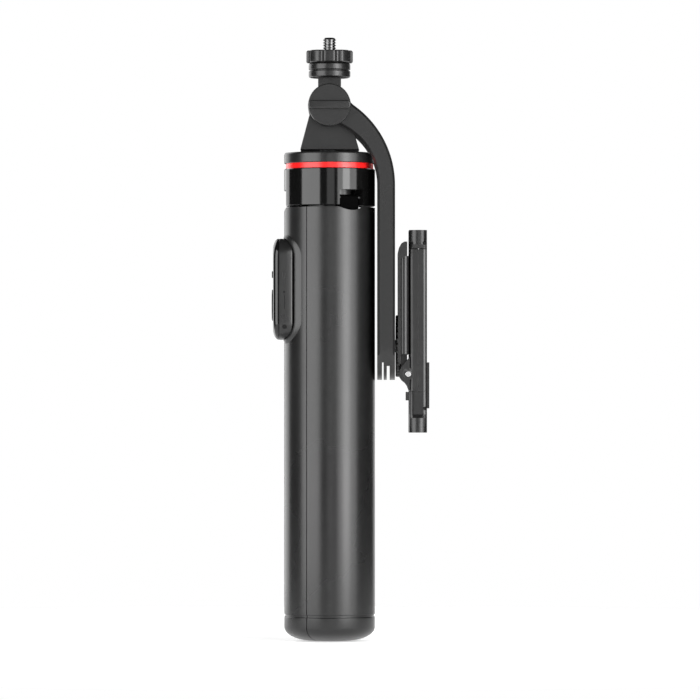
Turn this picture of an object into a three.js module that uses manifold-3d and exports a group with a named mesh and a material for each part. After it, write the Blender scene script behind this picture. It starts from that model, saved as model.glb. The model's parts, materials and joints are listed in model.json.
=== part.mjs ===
// Folding selfie stick with a tripod handle, a phone arm and a docked remote control.
// Millimetres, +Z up. The origin is on the axis of the mast, in the plane the closed legs stand on.
// +X points from the mast to the folded phone arm, -Y to the side that carries the thumb knob.
import * as THREE from 'three';
import { mergeVertices } from 'three/addons/utils/BufferGeometryUtils.js';
import Module from 'manifold-3d';

const wasm = await Module();
wasm.setup();

// ---------------------------------------------------------------- driving dimensions
const gap = 0.3;                 // between pieces that meet
const runningGap = 0.15;         // between pieces that slide or turn in each other

const handleRadius = 21.8;       // closed legs, collar and cap
const handleSides = 36;

const footHeight = 11.6;
const footRounding = 6;
const footSpigot = 8;            // height of the foot's spigot inside the shell
const grooveWidth = 1.2;         // ring groove between foot and shell
const grooveDepth = 0.5;
const legTop = 207.6;
const legWall = 2.4;
const legInnerRadius = 15.2;
const legEndWall = 3.5;
const legCount = 3;
const seamGap = 0.3;
const legFlange = 2;

const collarGap = 0.7;           // between the leg tops and the collar
const collarHeight = 17.8;
const ringHeight = 2.7;
const ringInset = 0.9;
const capHeight = 5.4;
const capChamfer = 0.8;
const hingeRadius = 18;          // leg hinge, distance from the axis
const hingeRise = 3.7;           // leg hinge above the collar's lower edge
const hingePinRadius = 1;
const hingePinLength = 17;
const lugRadius = 2.2;
const lugWidth = 12.4;
const notchWidth = 13;
const notchHeight = 7.5;

const mastOuterRadius = 14;      // largest of the sliding tubes
const mastTipRadius = 4.45;      // smallest of the sliding tubes
const mastSections = 6;
const mastWall = 0.8;
const mastBottom = 12.6;
const mastTopInset = 1;          // largest tube ends this far under the top of the cap
const mastStep = 1.6;            // each smaller tube starts this much higher
const glideHeight = 7;
const glideFit = 0.03;
const mastSides = 20;
const plugRadius = 8;
const plugSpigot = 1.2;

const headGap = 0.9;             // between the cap and the head
const forkHalfBase = 14;
const forkHalfTop = 10.3;
const forkShoulder = 17;         // height of the straight flanks
const forkHalfWidth = 11;        // across, along the pivot
const forkSlot = 10;             // slot that takes the neck
const pivotRise = 21;            // pivot above the foot of the head
const mastSocket = 6;            // depth of the mast tip in the head

const neckClearance = 0.3;
const neckEyeRadius = 9.4;
const neckHalfWidth = 5.5;
const neckRise = 13.9;           // underside of the camera base above the pivot
const baseRadius = 10;
const baseHeight = 7;
const baseGroove = 0.7;
const baseGrooveDepth = 0.5;
const wheelRadius = 11.2;
const wheelHeight = 6;
const wheelLobes = 8;
const wheelNotchRadius = 1.7;
const screwRadius = 3.175;       // 1/4 inch camera thread
const screwPitch = 1.27;
const screwStand = 6.2;          // thread above the wheel
const threadDepth = 0.5;

const boltRadius = 2.5;
const washerRadius = 8;
const washerThickness = 0.7;
const knobRadius = 10.1;
const knobThickness = 3.4;
const knobBarHeight = 3.9;
const knobBarRise = 1.8;
const nutAcross = 8;
const nutThickness = 3.2;
const nutRecess = 2;

const armGap = 1.1;              // between the closed legs and the folded arm
const armThickness = 8.4;
const armHalfWidth = 16.5;
const armCheek = 4.5;
const armEyeRadius = 10.1;
const armOuterBend = 46.6;
const armInnerBend = 30;
const armOuterBendDrop = 38.1;   // centres of the bends below the pivot
const armInnerBendDrop = 37;
const armWebDrop = 30.1;         // top of the web that joins the two cheeks, below the pivot
const armSlots = [[2.2, 0.9, 133.5], [4.5, 1.5, 131.8]];   // from the inner face, width, top

const swivelDrop = 114.8;        // clamp swivel below the arm pivot
const swivelShaftRadius = 3;
const swivelHeadRadius = 6;
const swivelHeadThickness = 2;
const swivelDiscRadius = 14.8;
const swivelDiscThickness = 2.3;
const swivelDiscSides = 32;
const discGap = 0.4;

const plateInset = 1.4;          // swivel disc sunk into the hinge plate
const plateThickness = 4.5;
const plateHalfWidth = 15.5;
const plateTop = 49.7;           // above the swivel
const plateBottom = 10.6;        // below the swivel, at the ears of the clamp
const plateCorner = 4;
const tiltDrop = 13.5;           // tilt pin below the swivel
const tiltPinRadius = 1.35;
const knuckleRadius = 2.9;
const knuckleHalfWidth = 8.2;
const earOuter = 13.4;

const clampGap = 0.7;            // between the hinge plate and the clamp
const clampThickness = 8.7;
const clampHalfWidth = 14;
const clampLength = 96.8;
const clampBelowSwivel = 41.5;
const jawLength = 8.8;           // upper jaw block
const lowerJawLength = 19.6;
const coverThickness = 4.3;      // of the clamp's front half
const slideHalfWidth = 10;       // channel for the jaw slide
const slideDepth = 1.2;          // of the channel, on each side of the joint
const rodRadius = 0.9;
const rodSpread = 7.6;
const rackHalfWidth = 5;
const rackLength = 30;
const springRadius = 0.8;
const springWire = 0.25;
const springTurns = 7;
const springSteps = 6;           // straight steps in a turn
const fingerHalfWidth = 9;
const fingerPinRadius = 0.8;
const fingerPinInset = 1.3;      // from the front face of the clamp
const lowerFingerLength = 22;
const lowerFingerThickness = 2.5;
const lowerFingerProud = 1.1;
const lowerFingerHinge = 11.6;   // hinge above the lower end
const upperFingerLength = 22;
const upperFingerThickness = 1.4;
const upperFingerHinge = 6.2;    // hinge below the upper end
const fingerRecess = 2.3;        // depth of the recess in the cover
const padThickness = 0.5;
const studRadius = 1.15;
const studLength = 4.4;
const studRise = 15.4;

const remoteDrop = 15;           // upper end below the leg tops
const remoteLength = 48.2;
const remoteHalfWidth = 15;
const remoteCorner = 9;
const remoteProud = 5.2;         // front face outside the closed legs
const remoteThickness = 9.4;
const coverDepth = 3.2;
const remoteWall = 1.3;
const dockRim = 2.2;
const dockProud = 1.1;
const shutterRadius = 7.5;
const shutterRise = 16.5;        // centre above the lower end
const modeRadius = 1.65;
const modeRise = 31.2;
const buttonProud = 0.7;
const buttonDepth = 1.9;
const switchRise = 32;
const switchSlot = [6, 1.8];
const switchSize = [2.6, 1.4];
const boardThickness = 1;
const batteryRadius = 8;
const batteryThickness = 1.8;

// ---------------------------------------------------------------- derived places
const shellBottom = footHeight + grooveWidth / 2 + runningGap;
const collarBottom = legTop + collarGap;
const collarTop = collarBottom + collarHeight;
const ringTop = collarTop + ringHeight;
const capTop = ringTop + capHeight;
const hingeHeight = collarBottom + hingeRise;
const headBottom = capTop + headGap;
const pivotHeight = headBottom + pivotRise;
const baseBottom = pivotHeight + neckRise;
const wheelBottom = baseBottom + baseHeight;
const armInner = handleRadius + armGap;
const armOuter = armInner + armThickness;
const swivelHeight = pivotHeight - swivelDrop;
const discInner = armOuter + discGap;
const discOuter = discInner + swivelDiscThickness;
const plateInner = discOuter + runningGap - plateInset;
const plateOuter = plateInner + plateThickness;
const tiltHeight = swivelHeight - tiltDrop;
const tiltX = plateOuter + clampGap / 2;
const clampBack = plateOuter + clampGap;
const clampFront = clampBack + clampThickness;
const clampBottom = swivelHeight - clampBelowSwivel;
const clampTop = clampBottom + clampLength;
const coverX = clampFront - coverThickness;
const jawBottom = clampTop - jawLength;
const lowerJawTop = clampBottom + lowerJawLength;
const remoteFront = handleRadius + remoteProud;
const remoteBack = remoteFront - remoteThickness;
const remoteBottom = legTop - remoteDrop - remoteLength;
const rodBottom = tiltHeight + knuckleRadius + 2;
const legAngles = { left: Math.PI, front: -Math.PI / 3, rear: Math.PI / 3 };

// ---------------------------------------------------------------- solids
// A closed three.js geometry as a solid that can be joined and cut.
function solid(geometry) {
  const bare = geometry.index ? geometry.toNonIndexed() : geometry.clone();
  bare.deleteAttribute('normal');
  bare.deleteAttribute('uv');
  const merged = mergeVertices(bare, 1e-4);
  const points = merged.attributes.position.array;
  const faces = merged.index.array;
  const kept = [];
  let volume = 0;
  const corner = [new THREE.Vector3(), new THREE.Vector3(), new THREE.Vector3()];
  for (let i = 0; i < faces.length; i += 3) {
    const ids = [faces[i], faces[i + 1], faces[i + 2]];
    if (ids[0] === ids[1] || ids[1] === ids[2] || ids[0] === ids[2]) continue;
    ids.forEach((id, k) => corner[k].fromArray(points, id * 3));
    volume += corner[0].dot(corner[1].clone().cross(corner[2]));
    kept.push(ids);
  }
  const turned = volume < 0 ? kept.map(([a, b, c]) => [a, c, b]) : kept;
  return new wasm.Manifold(new wasm.Mesh({
    numProp: 3,
    vertProperties: new Float32Array(points),
    triVerts: new Uint32Array(turned.flat()),
  }));
}

// Outlines: 'xy' is extruded along Z, 'xz' along Y and 'yz' along X.
const planes = {
  xy: new THREE.Matrix4(),
  xz: new THREE.Matrix4().set(1, 0, 0, 0, 0, 0, 1, 0, 0, 1, 0, 0, 0, 0, 0, 1),
  yz: new THREE.Matrix4().set(0, 0, 1, 0, 1, 0, 0, 0, 0, 1, 0, 0, 0, 0, 0, 1),
};

function prism(shape, plane, from, to, segments = 12) {
  const geometry = new THREE.ExtrudeGeometry(shape,
    { depth: to - from, bevelEnabled: false, curveSegments: segments });
  geometry.translate(0, 0, from);
  return solid(geometry.applyMatrix4(planes[plane]));
}

function box(x0, x1, y0, y1, z0, z1) {
  const geometry = new THREE.BoxGeometry(x1 - x0, y1 - y0, z1 - z0);
  return solid(geometry.translate((x0 + x1) / 2, (y0 + y1) / 2, (z0 + z1) / 2));
}

// A cylinder along one axis, from one place to another on it, through the point [a, b] of the plane.
function rod(axis, radius, from, to, [a, b] = [0, 0], sides = 16) {
  const shape = new THREE.Shape();
  const plane = { x: 'yz', y: 'xz', z: 'xy' }[axis];
  for (let i = 0; i < sides; i += 1) {
    const angle = (i + 0.5) * 2 * Math.PI / sides;
    const point = [a + radius * Math.cos(angle), b + radius * Math.sin(angle)];
    if (i === 0) shape.moveTo(...point);
    else shape.lineTo(...point);
  }
  return prism(shape, plane, from, to, 1);
}

// The radius that a faceted hole needs round a faceted shaft.
function holeRadius(shaft, clearance = runningGap, sides = 16) {
  return (shaft + clearance) / Math.cos(Math.PI / sides);
}

// Revolves a profile of [radius, height] points round Z.
function turnedSolid(profile, sides = handleSides) {
  const points = profile.map(([r, z]) => new THREE.Vector2(r, z));
  const closed = profile[0][0] > 0 ? [...points, points[0].clone()] : points;
  return solid(new THREE.LatheGeometry(closed, sides, Math.PI / sides).rotateX(Math.PI / 2));
}

function ring(outer, inner, z0, z1, sides = handleSides) {
  return turnedSolid([[inner, z0], [outer, z0], [outer, z1], [inner, z1]], sides);
}

// The points of a quarter-round edge, from angle to angle about a centre.
function arcPoints([cx, cy], radius, from, to, steps) {
  return Array.from({ length: steps + 1 }, (_, i) => {
    const angle = from + (to - from) * i / steps;
    return [cx + radius * Math.cos(angle), cy + radius * Math.sin(angle)];
  });
}

function outline(points) {
  const shape = new THREE.Shape();
  points.forEach((point, i) => (i ? shape.lineTo(...point) : shape.moveTo(...point)));
  return shape;
}

// A rectangle with rounded corners, by its limits.
function roundedBox(a0, a1, b0, b1, radius, steps = 5) {
  const q = Math.PI / 2;
  return outline([
    ...arcPoints([a1 - radius, b0 + radius], radius, -q, 0, steps),
    ...arcPoints([a1 - radius, b1 - radius], radius, 0, q, steps),
    ...arcPoints([a0 + radius, b1 - radius], radius, q, 2 * q, steps),
    ...arcPoints([a0 + radius, b0 + radius], radius, 2 * q, 3 * q, steps),
  ]);
}

// ---------------------------------------------------------------- the assembly
const finishes = {
  plastic: [0x2b2b2c, 0.45, 0],
  gloss: [0x161616, 0.12, 0],
  accent: [0xd8231f, 0.35, 0],
  steel: [0xc9ccd0, 0.25, 1],
  aluminium: [0x303235, 0.4, 0.9],
  rubber: [0x1b1b1b, 0.85, 0],
  board: [0x1d5a34, 0.5, 0],
};
const assembly = new THREE.Group();

function add(name, shape, finish, parent = assembly) {
  const mesh = shape.getMesh();
  const geometry = new THREE.BufferGeometry();
  geometry.setAttribute('position', new THREE.BufferAttribute(mesh.vertProperties, 3));
  geometry.setIndex(new THREE.BufferAttribute(mesh.triVerts, 1));
  geometry.computeVertexNormals();
  const [color, roughness, metalness] = finishes[finish];
  const node = new THREE.Mesh(geometry, new THREE.MeshStandardMaterial({ color, roughness, metalness }));
  node.name = name;
  parent.add(node);
  return node;
}

// ---------------------------------------------------------------- hub
const notches = Object.values(legAngles).map((angle) => {
  const cut = new THREE.BoxGeometry(handleRadius, notchWidth, notchHeight + 1);
  cut.translate(legInnerRadius + gap + handleRadius / 2, 0, collarBottom + notchHeight / 2 - 0.5);
  return solid(cut.rotateZ(angle));
});
const pinHoles = Object.values(legAngles).map((angle) => {
  const hole = new THREE.CylinderGeometry(holeRadius(hingePinRadius, 0.05, 12),
    holeRadius(hingePinRadius, 0.05, 12), hingePinLength + 0.4, 12);
  return solid(hole.translate(hingeRadius, 0, hingeHeight).rotateZ(angle));
});
const hubBore = holeRadius(mastOuterRadius, runningGap, mastSides);
let collar = ring(handleRadius, hubBore, collarBottom, collarTop);
notches.forEach((notch) => { collar = collar.subtract(notch); });
pinHoles.forEach((hole) => { collar = collar.subtract(hole); });
add('hub_collar', collar, 'gloss');
add('accent_ring', ring(handleRadius - ringInset, hubBore, collarTop, ringTop), 'accent');
add('hub_cap', turnedSolid([
  [hubBore, ringTop], [handleRadius, ringTop], [handleRadius, capTop - capChamfer],
  [handleRadius - capChamfer, capTop], [hubBore, capTop],
]), 'plastic');

// ---------------------------------------------------------------- legs
// A third of the handle, with its sides set back from the seams. It points along +X.
function wedge(inset, z0, z1) {
  const apex = inset / Math.sin(Math.PI / legCount);
  const reach = handleRadius * 2;
  const side = reach * Math.tan(Math.PI / legCount);
  return prism(outline([[apex, 0], [apex + reach, -side], [apex + reach, side]]), 'xy', z0, z1);
}

function legShell() {
  const wallInner = handleRadius - legWall;
  const endTop = legTop - legWall;
  const full = turnedSolid([
    [legInnerRadius, shellBottom], [handleRadius - grooveDepth, shellBottom],
    [handleRadius - grooveDepth, footHeight + grooveWidth], [handleRadius, footHeight + grooveWidth],
    [handleRadius, legTop - 0.4], [handleRadius - 0.4, legTop - 0.4],
    [wallInner, endTop], [legInnerRadius, endTop],
  ]);
  const pocket = ring(wallInner, legInnerRadius - 1, shellBottom - 1, endTop - legEndWall)
    .intersect(wedge(seamGap / 2 + legFlange, 0, legTop));
  const lugFoot = box(hingeRadius - lugRadius, hingeRadius + lugRadius, -lugWidth / 2, lugWidth / 2,
    endTop - legEndWall, hingeHeight);
  const lugEye = rod('y', lugRadius, -lugWidth / 2, lugWidth / 2, [hingeRadius, hingeHeight]);
  const eyeHole = rod('y', holeRadius(hingePinRadius), -lugWidth, lugWidth, [hingeRadius, hingeHeight]);
  return full.intersect(wedge(seamGap / 2, 0, legTop + 1)).subtract(pocket)
    .add(lugFoot).add(lugEye).subtract(eyeHole);
}

function legFoot() {
  const centre = [handleRadius - footRounding, footRounding];
  const spigotTop = footHeight + footSpigot;
  const inner = plugRadius + gap;
  const body = turnedSolid([
    [inner, 0], ...arcPoints(centre, footRounding, -Math.PI / 2, 0, 5),
    [handleRadius, footHeight], [handleRadius - grooveDepth - gap, footHeight],
    [handleRadius - grooveDepth - gap, footHeight + grooveWidth / 2],
    [handleRadius - legWall - gap, footHeight + grooveWidth / 2],
    [handleRadius - legWall - gap, spigotTop], [legInnerRadius + 1, spigotTop],
    [legInnerRadius + 1, footHeight], [inner, footHeight],
  ]);
  const spigotCut = ring(handleRadius - grooveDepth - gap + 0.1, legInnerRadius, footHeight, spigotTop + 1)
    .subtract(wedge(seamGap / 2 + legFlange + gap, 0, spigotTop + 2));
  return body.intersect(wedge(seamGap / 2, -1, spigotTop + 1)).subtract(spigotCut);
}

// The dock is a raised rim round a pocket for the remote, on the outside of one leg.
const dockShape = (grow) => roundedBox(-remoteHalfWidth - grow, remoteHalfWidth + grow,
  remoteBottom - grow, remoteBottom + remoteLength + grow, remoteCorner + grow);

function dockedShell() {
  const pocketFloor = remoteBack - gap;
  const rim = prism(dockShape(dockRim), 'yz', legInnerRadius + 0.2, handleRadius + dockProud + 1)
    .intersect(rod('z', handleRadius + dockProud, 0, legTop, [0, 0], handleSides));
  const pocket = prism(dockShape(gap), 'yz', pocketFloor, handleRadius * 2);
  return legShell().add(rim).subtract(pocket);
}

Object.entries(legAngles).forEach(([side, angle]) => {
  const leg = new THREE.Group();
  leg.rotation.z = angle;
  assembly.add(leg);
  add(`leg_shell_${side}`, side === 'left' ? dockedShell() : legShell(), 'plastic', leg);
  add(`leg_foot_${side}`, legFoot(), 'plastic', leg);
  add(`leg_hinge_pin_${side}`, rod('y', hingePinRadius, -hingePinLength / 2, hingePinLength / 2,
    [hingeRadius, hingeHeight], 12), 'steel', leg);
});

// ---------------------------------------------------------------- mast
const tubeStep = (mastOuterRadius - mastTipRadius) / (mastSections - 1);
const mastTop = capTop - mastTopInset;
for (let i = 0; i < mastSections; i += 1) {
  const outer = mastOuterRadius - i * tubeStep;
  const bottom = mastBottom + (i === 0 ? 0 : plugSpigot + gap + i * mastStep);
  const last = i === mastSections - 1;
  const top = last ? headBottom + mastSocket : mastTop;
  add(`mast_tube_${i + 1}`, ring(outer, outer - mastWall, bottom, top, mastSides), 'aluminium');
  if (i > 0) {
    const bore = outer + tubeStep - mastWall;
    add(`mast_glide_${i + 1}`, ring(bore - runningGap, outer + glideFit, bottom, bottom + glideHeight,
      mastSides), 'rubber');
  }
}
const plugBore = (mastOuterRadius - mastWall - runningGap) * Math.cos(Math.PI / mastSides);
add('mast_end_plug', turnedSolid([
  [0, 0], [plugRadius, 0], [plugRadius, footHeight + 0.4], [plugBore, footHeight + 0.4],
  [plugBore, mastBottom + plugSpigot], [0, mastBottom + plugSpigot],
], mastSides), 'rubber');

// ---------------------------------------------------------------- head
const pivot = [0, pivotHeight];
const armCheekInner = armHalfWidth - armCheek;
const pivotBore = holeRadius(boltRadius);

function headFork() {
  const shoulder = Math.sqrt(forkHalfTop ** 2 - (forkHalfTop * 0.98) ** 2);
  const flank = outline([
    [-forkHalfBase, headBottom], [forkHalfBase, headBottom], [forkHalfTop, headBottom + forkShoulder],
    ...arcPoints(pivot, forkHalfTop, -shoulder / forkHalfTop, Math.PI + shoulder / forkHalfTop, 14),
    [-forkHalfTop, headBottom + forkShoulder],
  ]);
  const slotFloor = pivotHeight - neckEyeRadius - neckClearance;
  const socket = rod('z', holeRadius(mastTipRadius, 0.05), headBottom - 1, headBottom + mastSocket + 0.2);
  return prism(flank, 'xz', -forkHalfWidth, forkHalfWidth)
    .subtract(box(-forkHalfBase * 2, forkHalfBase * 2, -forkSlot / 2, forkSlot / 2,
      slotFloor, pivotHeight * 2))
    .subtract(socket)
    .subtract(rod('y', pivotBore, -forkHalfWidth * 2, forkHalfWidth * 2, pivot));
}
add('head_fork', headFork(), 'plastic');

// The washers turn with the arm and carry its friction against the fork.
[['front', -1], ['rear', 1]].forEach(([side, sign]) => {
  const near = sign * (forkHalfWidth + runningGap);
  const far = sign * (forkHalfWidth + runningGap + washerThickness);
  add(`friction_washer_${side}`, rod('y', washerRadius, Math.min(near, far), Math.max(near, far), pivot)
    .subtract(rod('y', pivotBore, -armHalfWidth, armHalfWidth, pivot)), 'rubber');
});

function neckBlock() {
  const half = forkSlot / 2 - neckClearance;
  const eye = rod('y', neckEyeRadius, -half, half, pivot, 28);
  const stem = box(-neckHalfWidth, neckHalfWidth, -half, half, pivotHeight, baseBottom + 1);
  const bore = rod('y', pivotBore, -half * 2, half * 2, pivot);
  const grooveAt = baseBottom + baseHeight / 2;
  const base = turnedSolid([
    [0, baseBottom], [baseRadius - 0.8, baseBottom], [baseRadius, baseBottom + 0.8],
    [baseRadius, grooveAt - baseGroove / 2], [baseRadius - baseGrooveDepth, grooveAt - baseGroove / 2],
    [baseRadius - baseGrooveDepth, grooveAt + baseGroove / 2], [baseRadius, grooveAt + baseGroove / 2],
    [baseRadius, wheelBottom - 0.5], [baseRadius - 0.5, wheelBottom], [0, wheelBottom],
  ], 28);
  const seat = rod('z', holeRadius(screwRadius, 0.05), baseBottom + 1, wheelBottom + 1);
  return eye.add(stem).add(base).subtract(bore).subtract(seat);
}
add('neck_block', neckBlock(), 'plastic');

function lockWheel() {
  let wheel = rod('z', wheelRadius, wheelBottom + runningGap, wheelBottom + wheelHeight, [0, 0], 40);
  for (let i = 0; i < wheelLobes; i += 1) {
    const angle = (i + 0.5) * 2 * Math.PI / wheelLobes - Math.PI / 2;
    const at = [(wheelRadius + 0.6) * Math.cos(angle), (wheelRadius + 0.6) * Math.sin(angle)];
    wheel = wheel.subtract(rod('z', wheelNotchRadius, wheelBottom - 1, wheelBottom + wheelHeight + 1,
      at, 10));
  }
  return wheel.subtract(rod('z', holeRadius(screwRadius), wheelBottom - 1, wheelBottom + wheelHeight + 1));
}
add('lock_wheel', lockWheel(), 'plastic');

function cameraScrew() {
  const root = screwRadius - threadDepth;
  const threadBottom = wheelBottom + wheelHeight;
  const turns = Math.floor((screwStand - 1) / screwPitch);
  const profile = [[0, baseBottom + 1.2], [screwRadius, baseBottom + 1.2], [screwRadius, threadBottom]];
  for (let i = 0; i < turns; i += 1) {
    profile.push([root, threadBottom + (i + 0.5) * screwPitch]);
    profile.push([screwRadius, threadBottom + (i + 1) * screwPitch]);
  }
  const tip = threadBottom + screwStand;
  profile.push([screwRadius, tip - 0.6], [screwRadius - 0.6, tip], [0, tip]);
  return turnedSolid(profile, 20);
}
add('camera_screw', cameraScrew(), 'steel');

// ---------------------------------------------------------------- pivot bolt, knob and nut
const knobBack = -(armHalfWidth + runningGap);
const nutFace = armHalfWidth - nutRecess;
function thumbKnob() {
  const front = knobBack - knobThickness;
  const disc = rod('y', knobRadius, front, knobBack, pivot, 36);
  const bar = prism(roundedBox(-knobRadius + 0.1, knobRadius - 0.1, pivotHeight - knobBarHeight / 2,
    pivotHeight + knobBarHeight / 2, knobBarHeight / 2 - 0.3, 3), 'xz', front - knobBarRise, front + 0.5);
  return disc.add(bar).subtract(rod('y', holeRadius(boltRadius, 0.05), front + 1.2, knobBack + 1, pivot));
}
add('thumb_knob', thumbKnob(), 'plastic');
add('pivot_bolt', rod('y', boltRadius, knobBack - knobThickness + 1.3, nutFace + nutThickness, pivot),
  'steel');
add('pivot_nut', rod('y', nutAcross / Math.sqrt(3), nutFace + 0.1, nutFace + nutThickness, pivot, 6)
  .subtract(rod('y', pivotBore, 0, armHalfWidth * 2, pivot)), 'steel');

// ---------------------------------------------------------------- phone arm
const swivel = [0, swivelHeight];
const nutPocket = (nutAcross / 2 + 0.1) / Math.cos(Math.PI / 6) ** 2;
function phoneArm() {
  const outerCentre = [armOuter - armOuterBend, pivotHeight - armOuterBendDrop];
  const innerCentre = [armInner - armInnerBend, pivotHeight - armInnerBendDrop];
  const outerEnd = Math.PI * 0.305;
  const innerEnd = Math.PI * 0.39;
  const armEnd = swivelHeight - armHalfWidth;
  const band = outline([
    [armInner, armEnd], [armOuter, armEnd],
    ...arcPoints(outerCentre, armOuterBend, 0, outerEnd, 12), pivot,
    ...arcPoints(innerCentre, armInnerBend, innerEnd, 0, 10),
  ]);
  const face = outline([
    ...arcPoints(swivel, armHalfWidth, -Math.PI, 0, 16),
    [armHalfWidth, pivotHeight * 2], [-armHalfWidth, pivotHeight * 2],
  ]);
  let arm = prism(band, 'xz', -armHalfWidth, armHalfWidth)
    .add(rod('y', armEyeRadius, -armHalfWidth, armHalfWidth, pivot, 28))
    .intersect(prism(face, 'yz', -handleRadius, armOuter + 1));
  const webTop = pivotHeight - armWebDrop;
  const mouth = outline([
    ...arcPoints([0, webTop + armCheekInner], armCheekInner, -Math.PI, 0, 10),
    [armCheekInner, pivotHeight * 2], [-armCheekInner, pivotHeight * 2],
  ]);
  arm = arm.subtract(prism(mouth, 'yz', -handleRadius * 2, armOuter * 2));
  armSlots.forEach(([from, width, top]) => {
    arm = arm.subtract(box(armInner + from, armInner + from + width, -armHalfWidth - 1, armHalfWidth + 1,
      armEnd - 1, top));
  });
  const headPocket = rod('x', holeRadius(swivelHeadRadius), armInner - 1,
    armInner + swivelHeadThickness + 1.4, swivel);
  return arm.subtract(headPocket)
    .subtract(rod('x', holeRadius(swivelShaftRadius), armInner, armOuter + 1, swivel))
    .subtract(rod('y', pivotBore, -armHalfWidth * 2, armHalfWidth * 2, pivot))
    .subtract(rod('y', nutPocket, nutFace, armHalfWidth + 1, pivot, 6));
}
add('arm_yoke', phoneArm(), 'plastic');

// ---------------------------------------------------------------- swivel and hinge plate
const shaftEnd = plateInner + plateInset + 1.4;
add('swivel_shaft', rod('x', swivelHeadRadius, armInner + 1, armInner + 1 + swivelHeadThickness, swivel)
  .add(rod('x', swivelShaftRadius, armInner + 1 + swivelHeadThickness - 0.1, shaftEnd, swivel)), 'steel');

function swivelDisc() {
  return rod('x', swivelDiscRadius, discInner, discOuter, swivel, swivelDiscSides)
    .subtract(rod('x', holeRadius(swivelShaftRadius, 0.05), discInner - 1, discOuter + 1, swivel));
}
add('swivel_disc', swivelDisc(), 'plastic');

const tilt = [tiltX, tiltHeight];
function hingePlate() {
  const face = outline([
    ...arcPoints([plateHalfWidth - plateCorner, swivelHeight + plateTop - plateCorner], plateCorner,
      0, Math.PI / 2, 4),
    ...arcPoints([-plateHalfWidth + plateCorner, swivelHeight + plateTop - plateCorner], plateCorner,
      Math.PI / 2, Math.PI, 4),
    [-plateHalfWidth, swivelHeight - plateBottom], [-knuckleHalfWidth, swivelHeight - plateBottom],
    [-knuckleHalfWidth, tiltHeight], [knuckleHalfWidth, tiltHeight],
    [knuckleHalfWidth, swivelHeight - plateBottom], [plateHalfWidth, swivelHeight - plateBottom],
  ]);
  return prism(face, 'yz', plateInner, plateOuter)
    .add(rod('y', knuckleRadius, -knuckleHalfWidth, knuckleHalfWidth, tilt))
    .subtract(rod('x', holeRadius(swivelDiscRadius, runningGap, swivelDiscSides), plateInner - 1,
      plateInner + plateInset, swivel, swivelDiscSides))
    .subtract(rod('x', holeRadius(swivelShaftRadius, 0.05), plateInner - 1, shaftEnd + 0.1, swivel))
    .subtract(rod('y', holeRadius(tiltPinRadius, 0.05), -plateHalfWidth, plateHalfWidth, tilt));
}
add('hinge_plate', hingePlate(), 'plastic');
add('tilt_pin', rod('y', tiltPinRadius, -earOuter - 0.2, earOuter + 0.2, tilt), 'steel');

// ---------------------------------------------------------------- phone clamp
const jawSplit = gap;
const fingerAxisX = clampFront - fingerPinInset;
const lowerFingerZ = clampBottom + lowerFingerHinge;
const upperFingerZ = clampTop - upperFingerHinge;
const cornerRound = clampThickness / 2 - 0.25;
const recessBack = clampFront - fingerRecess;

// The clamp's section has half-round side edges.
const clampSection = (x0, x1) => prism(
  roundedBox(clampBack, clampFront, -clampHalfWidth, clampHalfWidth, cornerRound, 5),
  'xy', clampBottom, clampTop,
).intersect(box(x0, x1, -clampHalfWidth - 1, clampHalfWidth + 1, clampBottom - 1, clampTop + 1));
const clampSlice = (x0, x1, z0, z1) => clampSection(x0, x1)
  .intersect(box(x0, x1, -clampHalfWidth - 1, clampHalfWidth + 1, z0, z1));
const bodyBottom = lowerJawTop + jawSplit;
const bodyTop = jawBottom - jawSplit;
const channelBottom = rodBottom - 1;

const knuckleCut = rod('y', knuckleRadius + gap, -knuckleHalfWidth - gap, knuckleHalfWidth + gap, tilt);
const tiltBore = rod('y', holeRadius(tiltPinRadius), -clampHalfWidth * 2, clampHalfWidth * 2, tilt);
const plateCut = box(plateOuter - knuckleRadius * 2, clampBack,
  -knuckleHalfWidth - gap, knuckleHalfWidth + gap,
  tiltHeight - knuckleRadius * 2, tiltHeight + knuckleRadius * 2);

function clampBody() {
  const ears = rod('y', knuckleRadius, -earOuter, earOuter, tilt).subtract(plateCut);
  const channel = box(coverX - slideDepth, coverX + 1, -slideHalfWidth, slideHalfWidth,
    channelBottom, clampTop);
  return clampSlice(clampBack, coverX - gap / 2, bodyBottom, bodyTop)
    .add(ears).subtract(knuckleCut).subtract(tiltBore).subtract(channel);
}
add('clamp_body', clampBody(), 'plastic');

// The recess that a folded finger lies in, on the front of the clamp.
const fingerPocket = (back, z0, z1) => box(back, clampFront + 2,
  -fingerHalfWidth - gap, fingerHalfWidth + gap, z0, z1);

function clampCover() {
  const channel = box(coverX - 1, coverX + slideDepth, -slideHalfWidth, slideHalfWidth,
    channelBottom, clampTop);
  return clampSlice(coverX + gap / 2, clampFront, bodyBottom, bodyTop)
    .subtract(channel)
    .subtract(fingerPocket(recessBack, clampBottom, lowerFingerZ + lowerFingerLength + gap))
    .subtract(fingerPocket(recessBack, upperFingerZ - upperFingerLength - gap, clampTop));
}
add('clamp_cover', clampCover(), 'plastic');

const hingeBarrel = (radius, z) => rod('y', radius, -fingerHalfWidth, fingerHalfWidth, [fingerAxisX, z], 16);
const hingeBore = (z) => rod('y', holeRadius(fingerPinRadius, 0.08), -clampHalfWidth - 1,
  clampHalfWidth + 1, [fingerAxisX, z]);
const barrelRoom = (z) => rod('y', fingerPinInset + gap, -fingerHalfWidth - gap, fingerHalfWidth + gap,
  [fingerAxisX, z], 16);
const fingerPin = (z) => rod('y', fingerPinRadius, -fingerHalfWidth - 2.5, fingerHalfWidth + 2.5,
  [fingerAxisX, z], 16);

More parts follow.
